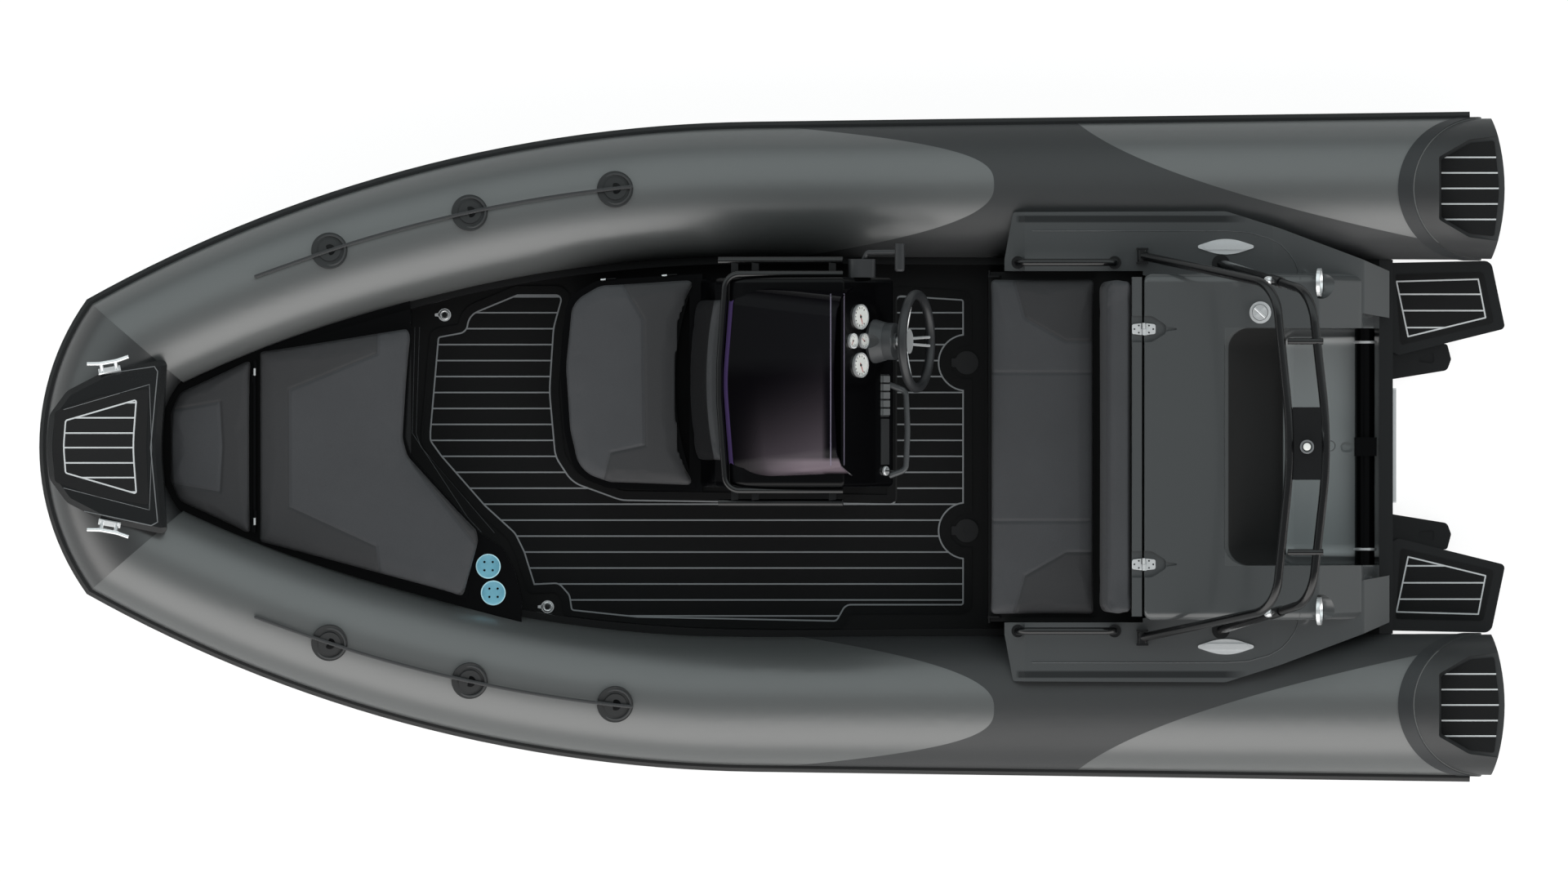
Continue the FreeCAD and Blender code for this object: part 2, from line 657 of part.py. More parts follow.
HULL_BODY = Part.makeLoft([hull_section(o) for o in HULL_OFFSETS], True, False)


def bow_block(rise):
    """The space above the hull's sloping lid in the bow."""
    (x0, z0), (x1, z1) = HULL_BOW_LID
    outline = [(x0, z0 + rise, 0), (x1, z1 + rise, 0), (x1, 900, 0), (x0, 900, 0)]
    return side_prism(outline, -900.0, 900.0)


def keel_rails():
    """Two lifting rails on each bottom panel, running out at the stem."""
    rails = []
    for fraction in KEEL_RAIL_FRACTIONS:
        wires = []
        for x, keel_z, chine_y, chine_z in HULL_OFFSETS[:6]:
            y = chine_y * fraction
            z = blend(keel_z, chine_z, fraction)
            fade = 1.0 - 0.8 * smooth((x - 800.0) / 1000.0)
            slope = (chine_z - keel_z) / chine_y
            w, d = KEEL_RAIL_WIDTH * fade, KEEL_RAIL_DEPTH * fade
            points = [V(x, y - w, z - w * slope + 6), V(x, y, z - d), V(x, y + 4, z + 6 + 4 * slope)]
            wires.append(Part.makePolygon(points + points[:1]))
        rails.append(Part.makeLoft(wires, True, False))
    return rails


def hull_steps():
    """The lower steps either side of the engine, moulded on the transom."""
    outline = [
        (TRANSOM_X + 30, 226, 0), (-2313, 262, 20), (-2327, 300, 10), (-2313, 354, 12),
        (TRANSOM_X + 30, 330, 0)]
    step = plan_prism(outline, -60, 45)
    slot = [(-2269, 285, 10), (-2269, 325, 10), (-2215, 318, 10), (-2215, 290, 10)]
    return step.cut(plan_prism(slot, 37, 60))


def hull_shell():
    hull = HULL_BODY.cut([box(-2300, LOCKER_AFT_X, -900, 900, FLOOR_Z - FLOOR_THICKNESS, 900)])
    hull = hull.cut(bow_block(0.0))
    rails, step = keel_rails(), hull_steps()
    hull = hull.fuse(rails + [mirrored(rail) for rail in rails])
    transom = box(TRANSOM_X, TRANSOM_X + TRANSOM_THICKNESS, -640, 640, 0, TRANSOM_TOP_Z)
    hull = hull.fuse([transom] + both(step))
    hull = hull.cut(STERN_TUBES + FORE_TUBES + engine_bolt_holes())
    save("hull_shell", [hull.removeSplitter()])
    return hull


def engine_bolt_holes():
    """Two through holes under the transom's top, and two blind ones below the well floor."""
    holes = []
    for (spacing, z), depth in (
            (ENGINE_UPPER_BOLTS, 400.0), (ENGINE_LOWER_BOLTS, ENGINE_LOWER_DEPTH)):
        for side in (-1, 1):
            start = V(ENGINE_PLATE_X, ENGINE_CENTRE_Y + side * spacing / 2, z)
            holes.append(Part.makeCylinder(ENGINE_BOLT / 2, depth, start, V(1, 0, 0)))
    return holes


def inner_outline(margin, x0, x1, z):
    """A closed wire that keeps a margin inside the tubes from x0 to x1."""
    count = 7
    xs = [blend(x0, x1, i / (count - 1.0)) for i in range(count)]
    port = [V(x, inner_edge(x) - margin, z) for x in xs]
    starboard = [V(p.x, -p.y, z) for p in reversed(port)]
    left = Part.BSplineCurve()
    left.interpolate(port)
    right = Part.BSplineCurve()
    right.interpolate(starboard)
    return Part.Wire([
        left.toShape(), Part.LineSegment(port[-1], starboard[0]).toShape(),
        right.toShape(), Part.LineSegment(starboard[-1], port[0]).toShape()])


def inner_prism(margin, x0, x1, z0, z1):
    return Part.Face(inner_outline(margin, x0, x1, z0)).extrude(V(0, 0, z1 - z0))


def deck_liner():
    """The moulded floor with sides that rise to the tubes."""
    (x0, z0), (x1, z1), (x2, z2) = LINER_TOP
    low = FLOOR_Z - FLOOR_THICKNESS
    body = side_prism([(x0, low, 0), (x2, low, 0), (x2, z2, 0), (x1, z1, 400), (x0, z0, 0)], -900, 900)
    cavity = inner_prism(LINER_MARGIN, x0 - 10, x2 + 10, FLOOR_Z, 900)
    liner = body.common(HULL_BODY).cut([cavity] + STERN_TUBES + FORE_TUBES)
    save("deck_liner", [liner])
    return liner


def socket_discs(radius, z0, z1):
    return [Part.makeCylinder(radius, z1 - z0, V(x, y, z0)) for x, y in SOCKET_PLACES]


def floor_decking():
    """Foam decking with pale lines let into it, drawn clear of the two sockets."""
    top = FLOOR_Z + MAT_THICKNESS
    cut_z = top - LINE_DEPTH
    wide = Part.Face(plan_wire(MAT_OUTLINE, FLOOR_Z)).makeOffset2D(MAT_BORDER - LINE_WIDTH)
    wide = wide.extrude(V(0, 0, MAT_THICKNESS))
    outer = plan_prism(MAT_OUTLINE, cut_z, top).cut(socket_discs(SOCKET_BORDER, cut_z, top))
    inner = Part.Face(plan_wire(MAT_OUTLINE, cut_z)).makeOffset2D(-LINE_WIDTH)
    inner = inner.extrude(V(0, 0, LINE_DEPTH))
    inner = inner.cut(socket_discs(SOCKET_BORDER + LINE_WIDTH, cut_z, top))
    stripes = []
    for i in range(-10, 11):
        y = LINE_FIRST_Y + i * LINE_PITCH
        stripe = inner.common(box(-700, 1300, y - LINE_WIDTH / 2, y + LINE_WIDTH / 2, cut_z, top))
        stripes.extend(stripe.Solids)
    lines = outer.cut(inner).fuse(stripes).removeSplitter()
    low, high = FLOOR_Z - 1, FLOOR_Z + 50
    keep_out = [plan_prism(outline, low, high)
                for outline in (SEAT_OUTLINE_WIDE, CONSOLE_OUTLINE, LOCKER_OUTLINE)]
    keep_out.append(box(-2000, BENCH_FRONT_X + 4, -900, 900, low, high))
    room = inner_prism(LINER_MARGIN + 2.0, COCKPIT_AFT_X, LOCKER_AFT_X, low, high)
    mat = wide.common(room).cut(keep_out + [lines])
    for x, y in SOCKET_PLACES:
        mat = mat.cut(Part.makeCylinder(SOCKET_ROOM, 50, V(x, y, low)))
        mat = mat.cut(box(x - 200, x, y - SOCKET_ROOM, y + SOCKET_ROOM, low, high))
    save("floor_decking", [mat])
    save("floor_inlay_lines", [lines.common(room).cut(keep_out)])


def floor_sockets():
    """Keyhole-shaped caps of the two table sockets in front of the bench."""
    sockets = []
    for x, y in SOCKET_PLACES:
        cap = Part.makeCylinder(SOCKET_RADIUS, SOCKET_HEIGHT, V(x, y, FLOOR_Z))
        neck = plan_prism([
            (x, y - SOCKET_NECK - 14, 0), (x + 36, y - SOCKET_NECK, 16),
            (x + SOCKET_ROOM - 5, y - SOCKET_NECK, 4),
            (x + SOCKET_ROOM - 5, y + SOCKET_NECK, 4), (x + 36, y + SOCKET_NECK, 16),
            (x, y + SOCKET_NECK + 14, 0)], FLOOR_Z, FLOOR_Z + SOCKET_HEIGHT)
        cap = cap.fuse(neck).removeSplitter()
        pull = Part.makeCylinder(10, SOCKET_HEIGHT, V(x, y, FLOOR_Z + SOCKET_HEIGHT - 2))
        sockets.append(cap.cut(pull))
    save("floor_sockets", sockets)


# Bow locker

def bow_locker(hull, liner):
    body = plan_prism(LOCKER_OUTLINE, FLOOR_Z, LOCKER_TOP_Z).common(HULL_BODY)
    body = body.cut([hull, liner] + FORE_TUBES)
    main_room = plan_prism(
        [(1275, -700, 0), (1275, 25, 60), (1045, 300, 20), (1070, 700, 0), (1725, 700, 0),
         (1725, -700, 0)], LOCKER_FLOOR_Z, LOCKER_TOP_Z + 10)
    main_room = main_room.common(inner_prism(70.0, 1000, 1740, 0, 900))
    small_room = inner_prism(60.0, 1800, 2020, SMALL_FLOOR_Z, LOCKER_TOP_Z + 10)
    rib = box(BOW_HINGE_X - BOW_RIB_THICKNESS / 2, BOW_HINGE_X + BOW_RIB_THICKNESS / 2,
              -295, 295, LOCKER_TOP_Z - 1, BOW_RIB_TOP_Z)
    cups = [Part.makeCylinder(CUP_OUTER / 2 + RUNNING_GAP, 200, V(x, y, LOCKER_TOP_Z - CUP_DEPTH))
            for x, y in CUP_PLACES]
    body = body.cut([main_room, small_room] + cups).fuse(rib)
    save("bow_locker", [body])


def cup_holders():
    cups = []
    for x, y in CUP_PLACES:
        bottom = LOCKER_TOP_Z - CUP_DEPTH
        cup = Part.makeCylinder(CUP_OUTER / 2, CUP_DEPTH + CUP_LIP, V(x, y, bottom))
        bore = Part.makeCylinder(CUP_OUTER / 2 - CUP_WALL, CUP_DEPTH, V(x, y, bottom + CUP_WALL + 2))
        drains = [
            Part.makeCylinder(4, 20, V(x + 20 * math.cos(a), y + 20 * math.sin(a), bottom - 5))
            for a in (math.pi / 4, 3 * math.pi / 4, 5 * math.pi / 4, 7 * math.pi / 4)]
        cups.append(cup.cut([bore] + drains))
    save("cup_holders", cups)


def bow_leaf(start, way):
    """Leaf that carries a lid from its pin, aft of it (way -1) or ahead of it (way 1)."""
    bottom = LOCKER_TOP_Z + RUNNING_GAP
    far = BOW_HINGE_X + way * BOW_LEAF_REACH
    near = far - way * BOW_LEAF_THICKNESS
    return side_prism([
        (far, bottom, 0), (far, BOW_PIN_Z + 2, 0), (BOW_HINGE_X, BOW_PIN_Z + 3, 0),
        (BOW_HINGE_X, BOW_PIN_Z - 2, 0), (near, BOW_PIN_Z - 6, 0), (near, bottom, 0)],
        start, start + BOW_KNUCKLE_LENGTH)


def bow_hinge_parts():
    """Knuckles of the two hinges: aft lid, fixed rib and forward lid share each pin."""
    aft, fixed, ahead = [], [], []
    for y in BOW_HINGE_YS:
        starts = (y - 1.5 * BOW_KNUCKLE_LENGTH - 1, y - 0.5 * BOW_KNUCKLE_LENGTH,
                  y + 0.5 * BOW_KNUCKLE_LENGTH + 1)
        knuckles = [
            Part.makeCylinder(BOW_PIN_DIAMETER / 2, BOW_KNUCKLE_LENGTH,
                              V(BOW_HINGE_X, start, BOW_PIN_Z), V(0, 1, 0)) for start in starts]
        for group, knuckle, start, way in (
                (aft, knuckles[0], starts[0], -1), (ahead, knuckles[2], starts[2], 1)):
            group.append(knuckle.fuse(bow_leaf(start, way)))
        post = box(BOW_HINGE_X - 3, BOW_HINGE_X + 3, starts[1], starts[1] + BOW_KNUCKLE_LENGTH,
                   BOW_RIB_TOP_Z, BOW_PIN_Z)
        fixed.append(knuckles[1].fuse(post))
    return aft, fixed, ahead


def bow_lids():
    """Both locker lids with their hinge leaves, and the cushions on them."""
    aft, fixed, ahead = bow_hinge_parts()
    main_plan = LID_MAIN_AFT + [(BOW_HINGE_X - 10, 700, 0), (BOW_HINGE_X - 10, -700, 0)]
    small_plan = [
        (BOW_HINGE_X + 10, -700, 0), (BOW_HINGE_X + 10, 700, 0), (2000, 700, 0), (2030, 190, 50),
        (2062, 118, 50), (2062, -118, 50), (2030, -190, 50), (2000, -700, 0)]
    bottom = LOCKER_TOP_Z + RUNNING_GAP
    top = bottom + LID_THICKNESS
    for name, outline, hinge, way, x0, x1 in (
            ("main", main_plan, aft, -1, 960.0, 1820.0), ("small", small_plan, ahead, 1, 1700.0, 2110.0)):
        plan = plan_prism(outline, 0, 900)
        lid = plan.common(inner_prism(CUSHION_TUBE_GAP, x0, x1, bottom, top))
        near, far = sorted((BOW_HINGE_X + way * BOW_LEAF_REACH, BOW_HINGE_X + way * 30))
        arms = [box(near, far, leaf.BoundBox.YMin, leaf.BoundBox.YMax, bottom, top) for leaf in hinge]
        save(f"bow_lid_{name}", [lid.fuse(arms + hinge).removeSplitter()])
        cushion = plan.common(inner_prism(CUSHION_TUBE_GAP, x0, x1, top, BOW_CUSHION_TOP_Z))
        save(f"bow_cushion_{name}", [cushion])
    return fixed


# Bow moulding

def bow_top_wedge(outline, z_low, drop):
    """An upright prism cut off by the moulding's top, which falls towards the stem."""
    body = plan_prism(outline, z_low, 900)
    top = side_prism([
        (2000, BOW_MOULDING_TOP_Z - drop, 0), (2150, BOW_MOULDING_TOP_Z - drop, 0),
        (2480, BOW_MOULDING_TOP_Z - BOW_MOULDING_DROOP - drop, 0), (2600, 950, 0), (2000, 950, 0)],
        -500, 500)
    return body.cut(top)


def bow_moulding():
    """The step over the bow tube, with a pad let into its top."""
    body = bow_top_wedge(BOW_MOULDING_OUTLINE, BOW_MOULDING_BOTTOM_Z, 0.0)
    bevels = []
    for edge in body.Edges:
        span = edge.BoundBox
        level = abs(span.ZMax - span.ZMin) < BOW_MOULDING_DROOP + 1
        if level and span.ZMin > 600 and edge.Length > 60 and abs(edge.CenterOfMass.y) > 90:
            bevels.append(edge)
    body = body.makeChamfer(BOW_MOULDING_BEVEL * 0.6, bevels)
    body = body.cut([FORE_CLEAR, mirrored(FORE_CLEAR), BOW_CLEAR])
    rise = BOW_PAD_THICKNESS - BOW_PAD_RECESS
    pad = bow_top_wedge(BOW_PAD_OUTLINE, 640, -rise).cut(bow_top_wedge(BOW_PAD_OUTLINE, 600, BOW_PAD_RECESS))
    body = max(body.cut(pad).Solids, key=lambda s: s.Volume)
    save("bow_moulding", [body])
    skin = pad.cut(bow_top_wedge(BOW_PAD_OUTLINE, 600, PAD_LINE_DEPTH - rise))
    lines = pad_lines(BOW_PAD_LINE, BOW_PAD_LINE_YS, skin)
    save("bow_step_pad", [pad.cut(lines)])
    return body, lines


def pad_lines(outline, ys, skin):
    """A pale border and stripes along the boat, let into the skin of a pad."""
    span = skin.BoundBox
    low, high = span.ZMin - 5, span.ZMax + 5
    inner = Part.Face(plan_wire(outline, low)).makeOffset2D(-PAD_LINE_WIDTH)
    inner = inner.extrude(V(0, 0, high - low))
    half = PAD_LINE_WIDTH / 2
    stripes = []
    for y in ys:
        stripe = inner.common(box(span.XMin - 5, span.XMax + 5, y - half, y + half, low, high))
        stripes.extend(stripe.Solids)
    lines = plan_prism(outline, low, high).cut(inner)
    return lines.fuse(stripes).removeSplitter().common(skin)


def bow_cleats(moulding):
    """Horn cleats standing out from the moulding's bevelled sides."""
    base = V(2257, 259, 672)
    lean = V(0.12, 0.75, 0.65).normalize()
    along = V(1, -0.2, 0).normalize()
    along = (along - lean * along.dot(lean)).normalize()
    foot = placed(Part.makeBox(76, 26, 5, V(-38, -13, 0)), base, along, lean.cross(along))
    posts = [rod(base + along * s, base + along * s + lean * 38, 13) for s in (-25, 25)]
    tip = base + lean * 38
    horn = tube_along([
        tuple(tip - along * 72 + lean * 9), tuple(tip - along * 30), tuple(tip + along * 30),
        tuple(tip + along * 72 + lean * 9)], [0, 90, 90, 0], 13)
    cleat = foot.fuse(posts + [horn]).cut([moulding, BOW_CLEAR])
    save("bow_cleats", both(cleat))


# Console and seat

def console_profile():
    return [
        (241, FLOOR_Z, 0), (246, 480, 10), (196, 700, 20), (150, 792, 40),
        (SCREEN_BASE_X - 60, 822, 60), (DASH_TOP[0], DASH_TOP[1], 12),
        (DASH_FOOT[0], DASH_FOOT[1], 8), (SWITCH_FOOT[0], SWITCH_FOOT[1], 20),
        (-392, 600, 30), (-330, 520, 30), (-330, FLOOR_Z, 0)]


def console_body():
    body = side_prism(console_profile(), CONSOLE_STARBOARD_Y, CONSOLE_PORT_Y)
    upright = []
    for edge in body.Edges:
        span = edge.BoundBox
        across = span.YMax - span.YMin
        if across < 1.0 and edge.Length > 60 and span.ZMax > 480 and span.XMin > -300:
            upright.append(edge)
    body = body.makeFillet(18.0, upright)
    save("console_body", [body])
    return body


def seat_base():
    """The locker under the front seat, open under its lid."""
    base = plan_prism(SEAT_OUTLINE_WIDE, FLOOR_Z, SEAT_BASE_TOP_Z)
    front = side_prism([
        (760, FLOOR_Z, 0), (705, FLOOR_Z, 0), (728, SEAT_BASE_TOP_Z, 0), (760, SEAT_BASE_TOP_Z, 0)],
        -900, 900)
    base = base.cut(front)
    room = plan_prism(SEAT_ROOM, LOCKER_ROOM_FLOOR_Z, SEAT_BASE_TOP_Z + 10)
    base = base.cut([room, CONSOLE_BODY])
    save("console_seat_base", [base])


def seat_lid():
    """Lid and cushion of the front seat, with the cushion hollowed round the backrest."""
    (x0, y0), (x1, y1), (x2, y2) = SEAT_AFT_CURVE
    cutter = Part.Face(Part.Wire([
        Part.Arc(V(x0, y0, 0), V(x1, y1, 0), V(x2, y2, 0)).toShape(),
        Part.LineSegment(V(x2, y2, 0), V(0, y2, 0)).toShape(),
        Part.LineSegment(V(0, y2, 0), V(0, y0, 0)).toShape(),
        Part.LineSegment(V(0, y0, 0), V(x0, y0, 0)).toShape()])).extrude(V(0, 0, 900))
    bottom = SEAT_BASE_TOP_Z + RUNNING_GAP
    lid_top = bottom + SEAT_LID_THICKNESS
    lid = plan_prism(SEAT_OUTLINE, bottom, lid_top).cut(cutter)
    direction = V(SEAT_HINGE_A[0] - SEAT_HINGE_B[0], SEAT_HINGE_A[1] - SEAT_HINGE_B[1], 0)
    direction.normalize()
    inboard = V(-direction.y, direction.x, 0)
    leaves = []
    bases = []
    for x, y in (SEAT_HINGE_A, SEAT_HINGE_B):
        centre = V(x, y, SEAT_HINGE_Z)
        leaves.append(rod(centre - direction * 26, centre + direction * 8, 7))
        leaf = placed(Part.makeBox(34, 26, 3, V(-26, 0, -3)), centre + V(0, 0, -SEAT_HINGE_Z + lid_top + 3),
                      direction, inboard)
        leaves.append(leaf)
        pin = rod(centre + direction * 9, centre + direction * 26, 7)
        strap = placed(Part.makeBox(17, 5, 22, V(9, -3.5, -22)), centre, direction, inboard)
        bases.append(pin.fuse(strap))
    lid = lid.fuse(leaves).removeSplitter()
    save("console_seat_lid", [lid])
    cushion = plan_prism(SEAT_OUTLINE, lid_top, SEAT_CUSHION_TOP_Z).cut(cutter)
    save("console_seat_cushion", [cushion.cut(leaves + bases)])
    seat_room = plan_prism(SEAT_OUTLINE_WIDE, FLOOR_Z, SEAT_BASE_TOP_Z)
    return [base.cut(seat_room) for base in bases]


def console_backrest():
    """Forward-facing backrest pad on the front of the console."""
    plan = Part.Face(Part.Wire([
        Part.Arc(V(268, -513, 0), V(302, CONSOLE_Y, 0), V(268, 59, 0)).toShape(),
        Part.LineSegment(V(268, 59, 0), V(100, 59, 0)).toShape(),
        Part.LineSegment(V(100, 59, 0), V(100, -513, 0)).toShape(),
        Part.LineSegment(V(100, -513, 0), V(268, -513, 0)).toShape()]))
    slope = V(-86, 0, 230)
    plan.translate(V(0, 0, 555))
    pad = plan.extrude(slope)
    pad = pad.cut(CONSOLE_BODY)
    pad = max(pad.Solids, key=lambda s: s.BoundBox.XMax)
    save("console_backrest", [pad])


def screen_section(z, front_x, half, aft_x):
    """D-shaped outline of the screen at one height."""
    middle = CONSOLE_Y
    points = [
        (aft_x, middle - half, 0), (front_x - SCREEN_BOW, middle - half + 20, 70),
        (front_x, middle, 900), (front_x - SCREEN_BOW, middle + half - 20, 70), (aft_x, middle + half, 0)]
    return plan_wire(points, z)


def windshield():
    def body(inset):
        wires = []
        for t in (0.0, 1.0):
            z = blend(SCREEN_BASE_Z - 30, SCREEN_TOP_Z + 5, t)
            front = blend(SCREEN_BASE_X + 43, SCREEN_TOP_X, t) - inset
            half = blend(CONSOLE_WIDTH / 2.0 - 4, CONSOLE_WIDTH / 2.0 - 60, t) - inset
            wires.append(screen_section(z, front, half, -420.0))
        return Part.makeLoft(wires, True, True)
    shell = body(0.0).cut(body(SCREEN_THICKNESS))
    keep = side_prism([
        (230, SCREEN_BASE_Z - 8, 0), (230, 900, 0), (SCREEN_TOP_X, SCREEN_TOP_Z, 0),
        (SCREEN_TOP_X - 20, SCREEN_TOP_Z - 12, 30), (-288, 838, 10), (-288, SCREEN_BASE_Z - 8, 0)],
        -900, 500)
    shell = shell.common(keep).cut(CONSOLE_BODY)
    save("windshield", [max(shell.Solids, key=lambda s: s.Volume)])


def windshield_rail():
    reach = CONSOLE_WIDTH / 2.0 + RAIL_DIAMETER / 2.0 + RUNNING_GAP
    y_left, y_right = CONSOLE_Y - reach, CONSOLE_Y + reach
    z_front, z_aft = 800.0, 838.0
    points = [
        (-238, y_left, z_aft), (160, y_left, z_front + 6), (182, CONSOLE_Y - 60, z_front),
        (182, CONSOLE_Y + 60, z_front), (160, y_right, z_front + 6), (-238, y_right, z_aft)]
    rail = tube_along(points, [0, 50, 260, 260, 50, 0], RAIL_DIAMETER)
    save("windshield_rail", [rail])


def console_side_rails():
    rails = []
    for side, standoff in SIDE_RAIL_STANDOFFS:
        wall = CONSOLE_Y + side * CONSOLE_WIDTH / 2.0
        y = wall + side * standoff
        bar = rod(V(185, y, SIDE_RAIL_Z - 40), V(-238, y, SIDE_RAIL_Z + 20), SIDE_RAIL_DIAMETER)
        for x in (130.0, 60.0, -202.0):
            t = (185.0 - x) / 423.0
            z = SIDE_RAIL_Z - 40 + 60 * t
            low, high = min(y, wall), max(y, wall)
            bar = bar.fuse(box(x - 12, x + 12, low, high, z - 9, z + 9))
        rails.append(bar)
    save("console_side_rails", rails)


def on_slope(x, y, foot, top, lift):
    """Point above the slope between foot and top, at plan place x, y."""
    t = (x - foot[0]) / (top[0] - foot[0])
    z = blend(foot[1], top[1], t)
    run = V(top[0] - foot[0], 0, top[1] - foot[1]).normalize()
    out = V(-run.z, 0, run.x)
    return V(x, y, z) + out * lift, run, out


def gauges():
    bezels, faces = [], []
    for x, y, diameter in GAUGES:
        seat, run, out = on_slope(x, y, DASH_FOOT, DASH_TOP, 0.0)
        ring = Part.makeCylinder(diameter / 2, 9, seat, out)
        bore = Part.makeCylinder(diameter / 2 - 5, 9, seat + out * 3, out)
        bezel = ring.cut(bore)
        bezels.append(bezel)
        faces.append(Part.makeCylinder(diameter / 2 - 5 - RUNNING_GAP, 2, seat + out * 3, out))
    save("gauge_bezels", bezels)
    save("gauge_faces", faces)


def switch_panel():
    """Rocker switches, blank panel and key switch on the lower band of the dash."""
    foot, top = SWITCH_FOOT, DASH_FOOT
    middle_x = (foot[0] + top[0]) / 2.0

    def block(y, width, length, height, lift):
        spot, run, out = on_slope(middle_x, y, foot, top, lift)
        shape = Part.makeBox(width, length, height, V(-width / 2, -length / 2, 0))
        return placed(shape, spot, V(0, -1, 0), run)
    plate = block(SWITCH_Y, 146, 50, 2, 0)
    for i in range(SWITCH_COUNT):
        plate = plate.fuse(block(SWITCH_Y + (i - SWITCH_COUNT // 2) * SWITCH_PITCH, 22, 40, 7, 2))
    blank = block(BLANK_PANEL_Y, 156, 50, 3, 0)
    key, run, out = on_slope(middle_x, KEY_Y, foot, top, 0.0)
    lock = Part.makeCylinder(15, 8, key, out).fuse(block(KEY_Y, 4, 22, 26, 7))
    save("switch_panel", [piece.cut(CONSOLE_BODY) for piece in (plate, blank, lock)])


def throttle_control():
    """Side-mounted throttle: housing on the console's wall, lever and cross grip."""
    wall = CONSOLE_STARBOARD_Y
    base = side_prism([
        (-254, 800, 20), (-338, 775, 20), (-352, 850, 25), (-262, 880, 30)], wall - THROTTLE_WIDTH, wall)
    base = base.cut(CONSOLE_BODY)
    pivot = V(THROTTLE_PIVOT[0], wall - THROTTLE_WIDTH, THROTTLE_PIVOT[1])
    knob = V(*THROTTLE_KNOB)
    lever = tube_along([
        tuple(pivot + V(0, 20, 0)), tuple(pivot + V(-20, -22, 18)), tuple(knob)], [0, 16, 0], 17)
    grip = Part.makeCylinder(17, 95, knob + V(-2, -29, 0), V(0, 1, 0))
    grip = grip.makeFillet(8, grip.Edges[:1])
    save("throttle_control", [base.fuse([lever, grip])])


def console_grab_handle():
    z = 700.0
    points = [
        (-395, -211, z), (-452, -190, z), (-458, -56, z), (-452, 78, z), (-395, 99, z)]
    handle = tube_along(points, [0, 26, 700, 26, 0], 20.0)
    save("console_grab_handle", [handle.cut(CONSOLE_BODY)])


# Steering

def wheel_axes():
    centre = V(*WHEEL_CENTRE)
    out = V(-math.cos(WHEEL_TILT), 0, math.sin(WHEEL_TILT))
    across = V(0, 1, 0)
    return centre, out, across


def steering():
    centre, out, across = wheel_axes()
    rim_radius = WHEEL_DIAMETER / 2 - WHEEL_RIM / 2
    rim = Part.makeTorus(rim_radius, WHEEL_RIM / 2, centre, out)
    up = out.cross(across)
    hub = Part.makeCylinder(WHEEL_HUB / 2, 26, centre - out * 50, out)
    spokes = []
    for degrees in SPOKE_ANGLES:
        a = math.radians(degrees)
        radial = across * math.cos(a) + up * math.sin(a)
        side = out.cross(radial)
        inner = centre + radial * 20 - out * 38
        outer = centre + radial * (rim_radius - WHEEL_RIM / 2 + 1)
        for lean in (-9, 9):
            spokes.append(rod(inner + side * lean, outer + side * lean * 1.6, SPOKE_DIAMETER))
    boss = Part.makeCylinder(16, 20, centre - out * 68, out)
    hub = hub.fuse(spokes + [boss]).cut(Part.makeTorus(rim_radius, WHEEL_RIM / 2, centre, out))
    save("steering_wheel_rim", [rim])
    save("steering_wheel_hub", [hub])
    far = centre - out * (68 + RUNNING_GAP)
    column = Part.makeCone(38, 28, 45, far - out * 45, out)
    for (near, near_radius), (deep, deep_radius) in zip(SHROUD, SHROUD[1:]):
        if deep > near:
            stretch = centre - out * deep
            if deep_radius == near_radius:
                ring = Part.makeCylinder(near_radius, deep - near, stretch, out)
            else:
                ring = Part.makeCone(deep_radius, near_radius, deep - near, stretch, out)
            column = column.fuse(ring)
    rooms = []
    for x, y, diameter in GAUGES:
        seat, run, above = on_slope(x, y, DASH_FOOT, DASH_TOP, 0.0)
        rooms.append(Part.makeCylinder(diameter / 2 + 1.0, 60, seat, above))
    column = column.cut([CONSOLE_BODY] + rooms)
    save("steering_column", [max(column.Solids, key=lambda s: s.Volume)])


# Bench, backrest and stern

def bench_base(liner):
    outline = [
        (BENCH_FRONT_X, -BENCH_HALF_WIDTH - 20, 12), (BENCH_FRONT_X, BENCH_HALF_WIDTH + 20, 12),
        (BACKREST_HINGE[0], BENCH_HALF_WIDTH + 20, 0), (BACKREST_HINGE[0], -BENCH_HALF_WIDTH - 20, 0)]
    base = plan_prism(outline, FLOOR_Z, BENCH_TOP_Z)
    w = BENCH_HALF_WIDTH - BENCH_WALL
    room = plan_prism([
        (BENCH_FRONT_X - BENCH_WALL, -w, 30), (BENCH_FRONT_X - BENCH_WALL, w, 30),
        (BENCH_AFT_X + BENCH_WALL, w, 30), (BENCH_AFT_X + BENCH_WALL, -w, 30)],
        LOCKER_ROOM_FLOOR_Z, BENCH_TOP_Z + 10)
    base = base.cut([room, liner] + STERN_TUBES)
    save("bench_base", [max(base.Solids, key=lambda s: s.Volume)])


